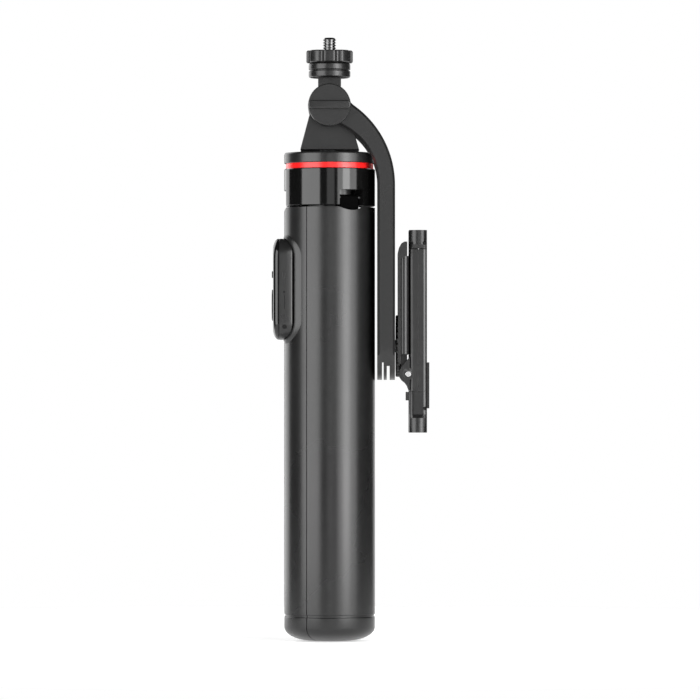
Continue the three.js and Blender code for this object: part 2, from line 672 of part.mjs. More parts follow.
function lowerJaw() {
  return clampSlice(clampBack, clampFront, clampBottom, lowerJawTop)
    .subtract(fingerPocket(recessBack, lowerFingerZ, clampTop))
    .subtract(fingerPocket(fingerAxisX, lowerFingerZ - lowerFingerThickness - gap, clampTop))
    .subtract(barrelRoom(lowerFingerZ))
    .subtract(hingeBore(lowerFingerZ))
    .subtract(rod('z', studRadius + gap, clampBottom + studRise - gap, clampTop, [tiltX, 0], 16));
}
add('lower_jaw', lowerJaw(), 'plastic');

function upperJaw() {
  const slideX = [coverX - slideDepth + runningGap, coverX + slideDepth - runningGap];
  const rack = box(...slideX, -rackHalfWidth, rackHalfWidth, jawBottom - rackLength, jawBottom + 1);
  let jaw = clampSlice(clampBack, clampFront, jawBottom, clampTop).add(rack)
    .subtract(fingerPocket(recessBack, clampBottom, upperFingerZ))
    .subtract(fingerPocket(fingerAxisX, clampBottom, upperFingerZ + upperFingerThickness + gap))
    .subtract(barrelRoom(upperFingerZ))
    .subtract(hingeBore(upperFingerZ));
  [-rodSpread, rodSpread].forEach((y) => {
    jaw = jaw.subtract(rod('z', holeRadius(rodRadius, 0.05, 12), jawBottom - 1, jawBottom + 2.2,
      [coverX, y], 12));
  });
  return jaw;
}
add('upper_jaw', upperJaw(), 'plastic');

[['front', -rodSpread], ['rear', rodSpread]].forEach(([side, y]) => {
  add(`guide_rod_${side}`, rod('z', rodRadius, rodBottom, jawBottom + 2, [coverX, y], 12), 'steel');
});

// The fingers lie against the clamp and swing out square to it.
function finger(z, toward, length, barrel, faces) {
  const tip = z + toward * length;
  const blade = box(...faces, -fingerHalfWidth, fingerHalfWidth, Math.min(z, tip), Math.max(z, tip));
  return blade.add(hingeBarrel(barrel, z)).subtract(hingeBore(z));
}
const lowerFaces = [clampFront + lowerFingerProud - lowerFingerThickness, clampFront + lowerFingerProud];
const upperFaces = [clampFront - upperFingerThickness, clampFront];
add('lower_finger', finger(lowerFingerZ, 1, lowerFingerLength, fingerPinInset, lowerFaces), 'plastic');
add('upper_finger', finger(upperFingerZ, -1, upperFingerLength, fingerPinInset, upperFaces), 'plastic');
add('lower_finger_pin', fingerPin(lowerFingerZ), 'steel');
add('upper_finger_pin', fingerPin(upperFingerZ), 'steel');

const padInset = 1.5;
function fingerPad(face, z, toward, length) {
  const near = z + toward * (fingerPinInset + 1.2);
  const far = z + toward * (length - padInset);
  return box(face - padThickness, face - 0.02, -fingerHalfWidth + padInset, fingerHalfWidth - padInset,
    Math.min(near, far), Math.max(near, far));
}
add('lower_finger_pad', fingerPad(lowerFaces[0], lowerFingerZ, 1, lowerFingerLength), 'rubber');
add('upper_finger_pad', fingerPad(upperFaces[0], upperFingerZ, -1, upperFingerLength), 'rubber');

// The jaw spring is a closed coil with a straight start and end.
function jawSpring() {
  const bottom = rodBottom;
  const top = jawBottom - rackLength - 0.3;
  const steps = springTurns * springSteps;
  const points = Array.from({ length: steps + 1 }, (_, i) => {
    const angle = 2 * Math.PI * i / springSteps;
    return new THREE.Vector3(coverX + springRadius * Math.cos(angle), springRadius * Math.sin(angle),
      bottom + springWire + (top - bottom - 2 * springWire) * i / steps);
  });
  const wire = outline(Array.from({ length: 4 }, (_, i) => {
    const angle = 2 * Math.PI * i / 4;
    return [springWire * Math.cos(angle), springWire * Math.sin(angle)];
  }));
  const extrudePath = new THREE.CatmullRomCurve3(points);
  return solid(new THREE.ExtrudeGeometry(wire, { extrudePath, steps, bevelEnabled: false }));
}
add('jaw_spring', jawSpring(), 'steel');

add('release_stud', rod('z', studRadius, clampBottom + studRise, clampBottom + studRise + studLength - gap,
  [tiltX, 0], 16), 'plastic');

// ---------------------------------------------------------------- remote control
// Modelled along +X, as its leg is, and turned with the leg's group.
const remote = new THREE.Group();
remote.rotation.z = legAngles.left;
assembly.add(remote);
const split = remoteFront - coverDepth;
const remoteTop = remoteBottom + remoteLength;
const shutterZ = remoteBottom + shutterRise;
const modeZ = remoteBottom + modeRise;
const switchZ = remoteBottom + switchRise;
const bodyShape = (shrink) => roundedBox(-remoteHalfWidth + shrink, remoteHalfWidth - shrink,
  remoteBottom + shrink, remoteTop - shrink, remoteCorner - shrink, 4);

// The case opens towards its cover. A slot in its side takes the power switch.
function remoteCase() {
  const [slotLength, slotWidth] = switchSlot;
  const slotX = split - 2;
  return prism(bodyShape(0), 'yz', remoteBack, split - gap / 2)
    .subtract(prism(bodyShape(remoteWall), 'yz', remoteBack + remoteWall, split + 1))
    .subtract(box(slotX - slotWidth / 2, slotX + slotWidth / 2, 0, remoteHalfWidth + 1,
      switchZ - slotLength / 2, switchZ + slotLength / 2));
}
add('remote_case', remoteCase(), 'plastic', remote);

// The cover's ends and sides are drawn in towards its front face.
function remoteCover() {
  const steps = 3;
  let cover = prism(bodyShape(0), 'yz', split + gap / 2, split + coverDepth / steps);
  for (let i = 1; i < steps; i += 1) {
    const shrink = remoteWall * 2.2 * (1 - Math.sqrt(1 - (i / steps) ** 2));
    cover = cover.add(prism(bodyShape(shrink), 'yz', split + coverDepth * i / steps - 0.01,
      split + coverDepth * (i + 1) / steps));
  }
  return cover
    .subtract(prism(bodyShape(remoteWall), 'yz', split - 1, remoteFront - remoteWall))
    .subtract(rod('x', holeRadius(shutterRadius, runningGap, 24), split, remoteFront + 1, [0, shutterZ], 24))
    .subtract(rod('x', holeRadius(modeRadius), split, remoteFront + 1, [0, modeZ]));
}
add('remote_cover', remoteCover(), 'gloss', remote);

const buttonFront = remoteFront + buttonProud;
const buttonBack = remoteFront - buttonDepth;
add('shutter_button', rod('x', shutterRadius, buttonBack, buttonFront - 0.4, [0, shutterZ], 24)
  .add(rod('x', shutterRadius - 1.2, buttonFront - 0.5, buttonFront, [0, shutterZ], 24)), 'plastic', remote);
add('mode_button', rod('x', modeRadius, buttonBack, buttonFront, [0, modeZ]), 'plastic', remote);

const boardX = remoteBack + remoteWall + batteryThickness + 2 * gap;
const boardHalfWidth = remoteHalfWidth - remoteWall - gap * 2;
add('remote_board', box(boardX, boardX + boardThickness, -boardHalfWidth, boardHalfWidth,
  remoteBottom + remoteCorner, remoteTop - remoteCorner), 'board', remote);
add('remote_battery', rod('x', batteryRadius, remoteBack + remoteWall + 0.05, boardX - gap,
  [0, shutterZ]), 'steel', remote);
const [switchLength, switchWidth] = switchSize;
const switchBottom = switchZ - switchSlot[0] / 2 + runningGap;
add('power_switch', box(split - 2 - switchWidth / 2, split - 2 + switchWidth / 2,
  remoteHalfWidth - remoteWall - gap, remoteHalfWidth + 0.4,
  switchBottom, switchBottom + switchLength), 'plastic', remote);

export default assembly;
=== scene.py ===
# %% [markdown]
# # A folding selfie stick
# This lesson dresses a packed mechanical model of a selfie stick. The stick is a round handle
# that splits into three tripod legs, with a telescopic mast inside, a small head on top, an arm
# that carries a phone clamp, and a remote control docked in one leg. The mechanical model gives
# every place and every size. Here each moulding gets its rounded edges, its seams and its finish.

# %% Load the frame
import json
import math

import bmesh
import bpy
from mathutils import Matrix, Vector

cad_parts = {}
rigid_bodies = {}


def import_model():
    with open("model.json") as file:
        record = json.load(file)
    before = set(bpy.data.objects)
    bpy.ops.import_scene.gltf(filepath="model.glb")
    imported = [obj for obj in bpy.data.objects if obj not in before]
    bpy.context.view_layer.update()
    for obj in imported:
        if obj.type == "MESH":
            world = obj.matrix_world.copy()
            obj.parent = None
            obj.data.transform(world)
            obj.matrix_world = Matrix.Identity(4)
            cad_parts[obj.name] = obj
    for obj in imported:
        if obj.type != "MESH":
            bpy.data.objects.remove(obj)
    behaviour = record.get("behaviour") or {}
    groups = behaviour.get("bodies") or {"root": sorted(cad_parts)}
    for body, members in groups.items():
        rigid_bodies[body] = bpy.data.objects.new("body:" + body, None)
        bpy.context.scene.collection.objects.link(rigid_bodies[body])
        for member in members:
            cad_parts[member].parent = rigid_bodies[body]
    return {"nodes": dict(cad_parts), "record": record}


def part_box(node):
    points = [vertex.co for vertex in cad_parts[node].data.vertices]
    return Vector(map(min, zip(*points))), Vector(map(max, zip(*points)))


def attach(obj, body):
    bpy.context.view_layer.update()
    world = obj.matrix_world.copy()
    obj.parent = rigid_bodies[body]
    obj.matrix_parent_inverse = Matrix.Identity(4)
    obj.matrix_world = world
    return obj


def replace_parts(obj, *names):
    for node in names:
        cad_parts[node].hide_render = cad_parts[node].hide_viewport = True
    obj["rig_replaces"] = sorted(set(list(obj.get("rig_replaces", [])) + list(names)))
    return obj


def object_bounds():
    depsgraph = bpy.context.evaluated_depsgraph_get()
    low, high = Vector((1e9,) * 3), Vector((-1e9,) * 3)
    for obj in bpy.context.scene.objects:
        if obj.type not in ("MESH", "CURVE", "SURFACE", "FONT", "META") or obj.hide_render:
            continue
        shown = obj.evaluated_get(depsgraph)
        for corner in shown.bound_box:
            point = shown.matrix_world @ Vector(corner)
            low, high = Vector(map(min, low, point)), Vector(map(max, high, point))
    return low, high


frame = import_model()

cad_low, cad_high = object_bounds()
MM = 0.001
print("frame box in mm:", [round(v / MM, 1) for v in (*cad_low, *cad_high)])

# %% [markdown]
# ## Camera
# The stick is seen square from the side of the thumb knob, from far away, so that its edges stay
# almost parallel. A long lens gives that. The lens is at the height of the middle of the handle,
# and a small shift brings the top of the screw into the picture without tilting the camera.

# %% The camera
CAMERA_DISTANCE = 2.5
CAMERA_HEIGHT = 0.1135
VIEW_WIDTH = 0.336
VIEW_CENTRE = Vector((0.0098, 0.0, 0.1394))
SENSOR = 36.0

camera_data = bpy.data.cameras.new("camera")
camera_data.sensor_width = SENSOR
camera_data.lens = SENSOR * CAMERA_DISTANCE / VIEW_WIDTH
camera_data.shift_y = (VIEW_CENTRE.z - CAMERA_HEIGHT) / VIEW_WIDTH
camera_data.clip_end = 50.0
camera = bpy.data.objects.new("camera", camera_data)
camera.location = (VIEW_CENTRE.x, -CAMERA_DISTANCE, CAMERA_HEIGHT)
camera.rotation_euler = (math.radians(90), 0, 0)
bpy.context.collection.objects.link(camera)
bpy.context.scene.camera = camera
print("lens", round(camera_data.lens), "mm")

# %% [markdown]
# ## Studio
# Black plastic shows hardly any colour of its own: what is seen is the room in its gloss. A wide
# soft box stands on each side of the camera, the right one with a narrow brighter core, and their
# streaks run down the whole handle. A weak one in front lifts the flat faces, and two behind draw
# the rims. The room is white only where the lens sees it, and almost black where it lights. One
# even white room would be simpler, but it would turn all the gloss grey.

# %% The room
WHITE_ROOM = 1.0
ROOM_LIGHT = 0.035

scene = bpy.context.scene
scene.view_settings.view_transform = "Standard"
world = bpy.data.worlds.new("studio")
scene.world = world
world.use_nodes = True
room = world.node_tree
room.nodes.clear()
room_out = room.nodes.new("ShaderNodeOutputWorld")
room_mix = room.nodes.new("ShaderNodeMixShader")
room_ray = room.nodes.new("ShaderNodeLightPath")
room_seen = room.nodes.new("ShaderNodeBackground")
room_seen.inputs["Color"].default_value = (1, 1, 1, 1)
room_seen.inputs["Strength"].default_value = WHITE_ROOM
room_lit = room.nodes.new("ShaderNodeBackground")
room_lit.inputs["Color"].default_value = (1, 1, 1, 1)
room_lit.inputs["Strength"].default_value = ROOM_LIGHT
room.links.new(room_ray.outputs["Is Camera Ray"], room_mix.inputs["Fac"])
room.links.new(room_lit.outputs[0], room_mix.inputs[1])
room.links.new(room_seen.outputs[0], room_mix.inputs[2])
room.links.new(room_mix.outputs[0], room_out.inputs["Surface"])
print("room light", ROOM_LIGHT, "seen as", WHITE_ROOM)

# %% The soft boxes
BOX_HEIGHT = 2.2
BOX_LEVEL = 0.13


def soft_box(name, azimuth, width, distance, power):
    """A tall area light at an azimuth round the stick, 0 at the camera and 90 on the right."""
    data = bpy.data.lights.new(name, "AREA")
    data.shape = "RECTANGLE"
    data.size = width
    data.size_y = BOX_HEIGHT
    data.energy = power
    light = bpy.data.objects.new(name, data)
    round_stick = math.radians(azimuth)
    light.location = (distance * math.sin(round_stick), -distance * math.cos(round_stick), BOX_LEVEL)
    light.rotation_euler = (math.radians(90), 0, round_stick)
    light.visible_camera = False
    bpy.context.collection.objects.link(light)


soft_box("left_box", azimuth=-49, width=1.2, distance=1.3, power=35)
soft_box("right_wide", azimuth=46, width=1.25, distance=1.3, power=31)
soft_box("right_core", azimuth=43, width=0.42, distance=1.28, power=14)
soft_box("front_fill", azimuth=3, width=0.62, distance=1.9, power=4.8)
soft_box("back_left", azimuth=-143, width=1.0, distance=1.4, power=13)
soft_box("back_right", azimuth=160, width=0.7, distance=1.4, power=5)

# %% [markdown]
# ## Floor
# The floor is a pale disc just under the feet. A large plane would do as well, but the room
# behind is the same white, so a small disc is enough and no edge shows. It glows a little, which
# keeps it as pale as the room in this dark light.

# %% The floor
FLOOR_RADIUS = 0.42
FLOOR_GAP = 0.0003
FLOOR_TONE = 0.93
FLOOR_GLOW = 0.55
floor_mesh = bmesh.new()
bmesh.ops.create_circle(floor_mesh, cap_ends=True, segments=96, radius=FLOOR_RADIUS)
floor_data = bpy.data.meshes.new("floor")
floor_mesh.to_mesh(floor_data)
floor_mesh.free()
floor = bpy.data.objects.new("floor", floor_data)
floor.location.z = cad_low.z - FLOOR_GAP
bpy.context.collection.objects.link(floor)
floor_paint = bpy.data.materials.new("floor_paper")
floor_paint.use_nodes = True
floor_shader = floor_paint.node_tree.nodes["Principled BSDF"]
floor_shader.inputs["Base Color"].default_value = (FLOOR_TONE, FLOOR_TONE, FLOOR_TONE, 1)
floor_shader.inputs["Roughness"].default_value = 0.9
floor_shader.inputs["Specular IOR Level"].default_value = 0.0
floor_shader.inputs["Emission Color"].default_value = (1, 1, 1, 1)
floor_shader.inputs["Emission Strength"].default_value = FLOOR_GLOW
floor_data.materials.append(floor_paint)
print("floor", round(FLOOR_GAP / MM, 1), "mm under the feet")

# %% [markdown]
# ## Effects that the materials share
# Three small node groups do the work that every finish needs. `spark_texture` is the fine even
# grain that a spark-eroded mould leaves on plastic. `handling_marks` is the slow cloudy change
# in gloss that comes from moulding and from hands. `worn_edges` picks out the corners, where the
# grain polishes first. Each has named sockets, so a finish only states its own sizes.


# %% Tools for node groups
def new_group(name, inputs, outputs):
    """An empty node group with float sockets, and one vector input that the pattern reads."""
    group = bpy.data.node_groups.new(name, "ShaderNodeTree")
    group.interface.new_socket("Vector", in_out="INPUT", socket_type="NodeSocketVector")
    for label, value in inputs:
        socket = group.interface.new_socket(label, in_out="INPUT", socket_type="NodeSocketFloat")
        socket.default_value = value
    for label in outputs:
        group.interface.new_socket(label, in_out="OUTPUT", socket_type="NodeSocketFloat")
    return group, group.nodes.new("NodeGroupInput"), group.nodes.new("NodeGroupOutput")


def add_noise(tree, vector, scale, detail):
    """A noise texture whose scale comes from a socket or a number."""
    noise = tree.nodes.new("ShaderNodeTexNoise")
    noise.inputs["Detail"].default_value = detail
    tree.links.new(vector, noise.inputs["Vector"])
    if isinstance(scale, bpy.types.NodeSocket):
        tree.links.new(scale, noise.inputs["Scale"])
    else:
        noise.inputs["Scale"].default_value = scale
    return noise.outputs["Fac"]


def map_range(tree, value, from_low, from_high, to_low, to_high):
    """Stretches a value, with limits that are numbers or sockets."""
    node = tree.nodes.new("ShaderNodeMapRange")
    tree.links.new(value, node.inputs["Value"])
    limits = {"From Min": from_low, "From Max": from_high, "To Min": to_low, "To Max": to_high}
    for label, limit in limits.items():
        if isinstance(limit, bpy.types.NodeSocket):
            tree.links.new(limit, node.inputs[label])
        else:
            node.inputs[label].default_value = limit
    return node.outputs["Result"]


def combine(tree, operation, first, second):
    """A math node of two values, each a number or a socket."""
    node = tree.nodes.new("ShaderNodeMath")
    node.operation = operation
    for slot_number, value in enumerate((first, second)):
        if isinstance(value, bpy.types.NodeSocket):
            tree.links.new(value, node.inputs[slot_number])
        else:
            node.inputs[slot_number].default_value = value
    return node.outputs[0]


# %% The spark texture
COARSER = 0.31                    # scale of the coarse grain, as a share of the fine one
FINE_PART, COARSE_PART = 0.7, 0.3
spark_texture, spark_in, spark_out = new_group(
    "spark_texture", [("Grain Scale", 2600.0)], ["Height", "Tone"])
fine = add_noise(spark_texture, spark_in.outputs["Vector"], spark_in.outputs["Grain Scale"], 2.0)
coarse_scale = combine(spark_texture, "MULTIPLY", spark_in.outputs["Grain Scale"], COARSER)
coarse = add_noise(spark_texture, spark_in.outputs["Vector"], coarse_scale, 1.0)
grain = combine(spark_texture, "ADD", combine(spark_texture, "MULTIPLY", fine, FINE_PART),
                combine(spark_texture, "MULTIPLY", coarse, COARSE_PART))
spark_texture.links.new(grain, spark_out.inputs["Height"])
spark_texture.links.new(map_range(spark_texture, grain, 0.3, 0.7, 0.0, 1.0), spark_out.inputs["Tone"])

# %% Handling marks and worn edges
handling_marks, marks_in, marks_out = new_group(
    "handling_marks", [("Cloud Scale", 18.0), ("Low", 0.3), ("High", 0.4)], ["Roughness"])
clouds = add_noise(handling_marks, marks_in.outputs["Vector"], marks_in.outputs["Cloud Scale"], 4.0)
handling_marks.links.new(
    map_range(handling_marks, clouds, 0.3, 0.7, marks_in.outputs["Low"], marks_in.outputs["High"]),
    marks_out.inputs["Roughness"])

CORNER_RANGE = (0.52, 0.62)       # pointiness from a hardly bent edge to a sharp corner
PATCH_SCALE = 260.0
worn_edges, worn_in, worn_out = new_group("worn_edges", [("Amount", 0.3)], ["Mask"])
shape_info = worn_edges.nodes.new("ShaderNodeNewGeometry")
corners = map_range(worn_edges, shape_info.outputs["Pointiness"], *CORNER_RANGE, 0.0, 1.0)
patches = add_noise(worn_edges, worn_in.outputs["Vector"], PATCH_SCALE, 3.0)
broken = map_range(worn_edges, patches, 0.4, 0.62, 0.0, 1.0)
worn = combine(worn_edges, "MULTIPLY", combine(worn_edges, "MULTIPLY", corners, broken),
               worn_in.outputs["Amount"])
worn_edges.links.new(worn, worn_out.inputs["Mask"])
print("node groups:", [g.name for g in bpy.data.node_groups])

# %% [markdown]
# ## Finishes
# Every finish is built the same way: two close tones mixed by the grain, a third tone on worn
# corners, a roughness that drifts with the handling marks, and a fine bump. What changes is the
# numbers. The satin legs have a soft streak, the polished collar a sharp one, and the rubber
# hardly any. Metals use the same parts with the metallic socket set.


# %% How a finish is made
GRAIN_DEPTH = 0.00005


def to_color(tone):
    """A grey from one number, or the colour that three numbers give."""
    return (tone, tone, tone, 1.0) if isinstance(tone, (int, float)) else (*tone, 1.0)


def make_finish(name, dark, light, worn_tone, roughness, grain_scale, bump, *, metallic=0.0,
                cloud_scale=18.0, wear=0.25, stretch=(1, 1, 1), specular=0.5):
    """One finish, from its tones, its low and high roughness, and the scale and depth of its grain."""
    material = bpy.data.materials.new(name)
    material.use_nodes = True
    tree = material.node_tree
    shader = tree.nodes["Principled BSDF"]
    place = tree.nodes.new("ShaderNodeTexCoord")
    mapping = tree.nodes.new("ShaderNodeMapping")
    mapping.inputs["Scale"].default_value = stretch
    tree.links.new(place.outputs["Object"], mapping.inputs["Vector"])

    def place_group(group, **values):
        node = tree.nodes.new("ShaderNodeGroup")
        node.node_tree = group
        tree.links.new(mapping.outputs["Vector"], node.inputs["Vector"])
        for label, value in values.items():
            node.inputs[label.replace("_", " ")].default_value = value
        return node

    spark = place_group(spark_texture, Grain_Scale=grain_scale)
    marks = place_group(handling_marks, Cloud_Scale=cloud_scale, Low=roughness[0], High=roughness[1])
    edges = place_group(worn_edges, Amount=wear)

    tones = tree.nodes.new("ShaderNodeMix")
    tones.data_type = "RGBA"
    tones.inputs["A"].default_value = to_color(dark)
    tones.inputs["B"].default_value = to_color(light)
    tree.links.new(spark.outputs["Tone"], tones.inputs["Factor"])
    rubbed = tree.nodes.new("ShaderNodeMix")
    rubbed.data_type = "RGBA"
    rubbed.inputs["B"].default_value = to_color(worn_tone)
    tree.links.new(edges.outputs["Mask"], rubbed.inputs["Factor"])
    tree.links.new(tones.outputs["Result"], rubbed.inputs["A"])
    tree.links.new(rubbed.outputs["Result"], shader.inputs["Base Color"])
    tree.links.new(marks.outputs["Roughness"], shader.inputs["Roughness"])

    relief = tree.nodes.new("ShaderNodeBump")
    relief.inputs["Strength"].default_value = bump
    relief.inputs["Distance"].default_value = GRAIN_DEPTH
    tree.links.new(spark.outputs["Height"], relief.inputs["Height"])
    tree.links.new(relief.outputs["Normal"], shader.inputs["Normal"])
    shader.inputs["Metallic"].default_value = metallic
    shader.inputs["Specular IOR Level"].default_value = specular
    return material


# %% The finishes
satin_black = make_finish("satin_black_plastic", 0.006, 0.010, 0.03, (0.25, 0.31), 2600, 0.25)
# fine black colours the remote's side marks; on the strap hole it is painted shade standing in for the
# hole's depth
fine_black = make_finish("fine_black_plastic", 0.003, 0.006, 0.01, (0.50, 0.60), 3200, 0.35,
                         specular=0.15)
# painted shade: a black that reflects almost nothing, standing in for the shade deep in the collar's
# notch over each lug
painted_shade_black = make_finish("painted_shade_black_plastic", 0.0, 0.001, 0.002, (0.60, 0.70), 3200, 0.35,
                         specular=0.02)
gloss_black = make_finish("polished_black_plastic", 0.002, 0.003, 0.02, (0.09, 0.13), 900, 0.01,
                          wear=0.1)
accent_red = make_finish("red_accent_plastic", (0.62, 0.004, 0.006), (0.78, 0.014, 0.012),
                         (0.8, 0.1, 0.08), (0.22, 0.3), 2200, 0.12)
black_anodised = make_finish("black_anodised_tube", 0.03, 0.05, 0.3, (0.28, 0.36), 1500, 0.15,
                             metallic=0.85, stretch=(1, 1, 0.05))
bright_steel = make_finish("turned_steel", 0.55, 0.72, 0.8, (0.2, 0.3), 1800, 0.12, metallic=1.0)
blackened_steel = make_finish("blackened_steel", 0.02, 0.035, 0.1, (0.3, 0.4), 1800, 0.1,
                              metallic=0.9)
plated_screw = make_finish("plated_screw", 0.20, 0.30, 0.5, (0.12, 0.18), 1400, 0.1, metallic=1.0,
                           cloud_scale=120)
soft_rubber = make_finish("soft_rubber", 0.012, 0.02, 0.03, (0.62, 0.75), 1500, 0.5, specular=0.3)
solder_mask = make_finish("solder_mask", (0.004, 0.05, 0.02), (0.01, 0.09, 0.03), (0.2, 0.2, 0.1),
                          (0.3, 0.4), 900, 0.1)
print("finishes:", len([m for m in bpy.data.materials if m.use_nodes]))

# %% [markdown]
# ## Bench tools
# A piece is shaped in a bmesh, in the frame's own place and in metres. `finish_piece` closes every
# piece the same way: doubles are merged first, normals are then turned outward, corners sharper
# than a limit stay crisp, and a live bevel rounds them as a mould does. Sizes are written in
# millimetres, because that is how such a part is drawn.

# %% Finishing a piece
CRISP = 32.0            # degrees; flatter corners are shaded smooth
MERGE = 2e-6


def box_mm(node):
    """The corners of a node of the frame, in millimetres."""
    low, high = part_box(node)
    return Vector(low) / MM, Vector(high) / MM


def finish_piece(mesh, name, body, slot, finish, replaces=(), edge=0.0, segments=3, crisp=CRISP):
    """Turns a bmesh in millimetres into a finished piece that rides on a body."""
    bmesh.ops.remove_doubles(mesh, verts=mesh.verts, dist=MERGE / MM)
    bmesh.ops.recalc_face_normals(mesh, faces=mesh.faces)
    bmesh.ops.scale(mesh, vec=(MM, MM, MM), verts=mesh.verts)
    data = bpy.data.meshes.new(name)
    mesh.to_mesh(data)
    mesh.free()
    data.shade_smooth()
    data.set_sharp_from_angle(angle=math.radians(crisp))
    data.materials.append(finish)
    piece = bpy.data.objects.new(name, data)
    bpy.context.collection.objects.link(piece)
    if edge:
        bevel = piece.modifiers.new("rounded_edges", "BEVEL")
        bevel.width = edge * MM
        bevel.segments = segments
        bevel.limit_method = "ANGLE"
        bevel.angle_limit = math.radians(crisp)
        bevel.harden_normals = True
        bevel.use_clamp_overlap = True
    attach(piece, body)
    if replaces:
        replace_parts(piece, *replaces)
    print(f"{name}: {len(data.polygons)} faces on {body}")
    return piece


def from_frame(node):
    """A merged copy of a node's own mesh, in millimetres, with its flat faces made whole again."""
    mesh = bmesh.new()
    mesh.from_mesh(frame["nodes"][node].data)
    bmesh.ops.scale(mesh, vec=(1 / MM,) * 3, verts=mesh.verts)
    bmesh.ops.remove_doubles(mesh, verts=mesh.verts, dist=MERGE / MM)
    bmesh.ops.dissolve_limit(mesh, angle_limit=math.radians(0.5), verts=mesh.verts, edges=mesh.edges)
    return mesh


# %% Turned shapes, arcs and slabs
def turn(profile, steps=96, angle=math.tau, start=0.0):
    """Spins a profile of (radius, height) points round the mast's axis."""
    mesh = bmesh.new()
    points = [mesh.verts.new((r * math.cos(start), r * math.sin(start), z)) for r, z in profile]
    edges = [mesh.edges.new(pair) for pair in zip(points, points[1:])]
    bmesh.ops.spin(mesh, geom=points + edges, cent=(0, 0, 0), axis=(0, 0, 1), angle=angle,
                   steps=steps, use_merge=angle == math.tau)
    bmesh.ops.remove_doubles(mesh, verts=mesh.verts, dist=MERGE / MM)
    return mesh


def arc(centre, radius, first, last, steps):
    """Points of an arc about a centre, in degrees."""
    turns = (math.radians(first + (last - first) * i / steps) for i in range(steps + 1))
    return [(centre[0] + radius * math.cos(t), centre[1] + radius * math.sin(t)) for t in turns]


AXES = {
    "x": Matrix(((0, 0, 1, 0), (1, 0, 0, 0), (0, 1, 0, 0), (0, 0, 0, 1))),
    "y": Matrix(((1, 0, 0, 0), (0, 0, -1, 0), (0, 1, 0, 0), (0, 0, 0, 1))),
    "z": Matrix.Identity(4),
}


def slab(outline, along, low, high):
    """A flat outline made solid from one place to another along an axis.
    Outline points are (y, z) along x, (x, z) along y and (x, y) along z."""
    mesh = bmesh.new()
    sign = -1 if along == "y" else 1
    base = mesh.faces.new([mesh.verts.new((a, b, sign * low)) for a, b in outline])
    grown = bmesh.ops.extrude_face_region(mesh, geom=[base])["geom"]
    bmesh.ops.translate(mesh, vec=(0, 0, sign * (high - low)),
                        verts=[v for v in grown if isinstance(v, bmesh.types.BMVert)])
    bmesh.ops.transform(mesh, matrix=AXES[along], verts=mesh.verts)
    bmesh.ops.recalc_face_normals(mesh, faces=mesh.faces)
    return mesh


def join(*meshes):
    """Gathers several closed shapes into the first one."""
    first = meshes[0]
    for other in meshes[1:]:
        held = bpy.data.meshes.new("held")
        other.to_mesh(held)
        other.free()
        first.from_mesh(held)
        bpy.data.meshes.remove(held)
    return first


def rounded(a0, a1, b0, b1, radius, steps=8):
    """A rectangle with round corners, by its limits."""
    return (arc((a1 - radius, b0 + radius), radius, -90, 0, steps)
            + arc((a1 - radius, b1 - radius), radius, 0, 90, steps)
            + arc((a0 + radius, b1 - radius), radius, 90, 180, steps)
            + arc((a0 + radius, b0 + radius), radius, 180, 270, steps))


# %% Which body and slot a node has
BODY_OF = {node: body for body, nodes in frame["record"]["behaviour"]["bodies"].items()
           for node in nodes}
SLOT_OF = {part["node"]: part["material_slot"] for part in frame["record"]["subparts"]}


def stand_for(mesh, name, node, finish, **shape):
    """Finishes a piece that takes one node's place, on that node's body."""
    return finish_piece(mesh, name, BODY_OF[node], SLOT_OF[node], finish, (node,), **shape)

# %% [markdown]
# ## The three legs
# Closed, the legs are the handle. Each one is a third of a tube: a thin outer wall, with a flange
# down both sides that stiffens it and meets its neighbour in a fine seam. The wall could be cut
# from a full tube, but it is neater to spin one radial edge through a third of a turn, pull the
# two flanges out of its inner side, and grow that flat section upward in one go. The top rim is
# a thin lip at the outside, which dips in its middle, below the notch in the collar.

# %% Places on the handle
FACETS = 36                       # sides of the frame's own round parts
collar_low, collar_high = box_mm("hub_collar")
foot_top = box_mm("leg_foot_front")[1].z
shell_bottom = box_mm("leg_shell_front")[0].z
HANDLE = collar_high.x / math.cos(math.pi / FACETS)
LEG_TOP = collar_low.z - 0.7
WALL = 2.4
FLANGE_REACH = 4.2
SEAM = 0.3
LEG_STEPS = 40
FLANGE_STEPS = 2
RIM_HEIGHT = 2.4
RIM_LIP = 0.6
RIM_DIP = 1.6
DIP_HALF = 17.0                   # degrees from the middle of the dip to its end
GROOVE_TOP = shell_bottom + 0.45
LEG_ANGLES = {"left": 180.0, "front": -60.0, "rear": 60.0}
HALF = 60.0 - math.degrees(SEAM / 2 / HANDLE)
print("handle radius", round(HANDLE, 2), "leg top", round(LEG_TOP, 2))


# %% A leg shell
def polar(vert):
    """Radius and angle in degrees of a vertex round the mast."""
    return math.hypot(vert.co.x, vert.co.y), math.degrees(math.atan2(vert.co.y, vert.co.x))


def grow_up(mesh, faces, height):
    """Extrudes faces and lifts them to a height. Returns the new faces."""
    grown = bmesh.ops.extrude_face_region(mesh, geom=list(faces))["geom"]
    for vert in (item for item in grown if isinstance(item, bmesh.types.BMVert)):
        vert.co.z = height
    return [item for item in grown if isinstance(item, bmesh.types.BMFace)]


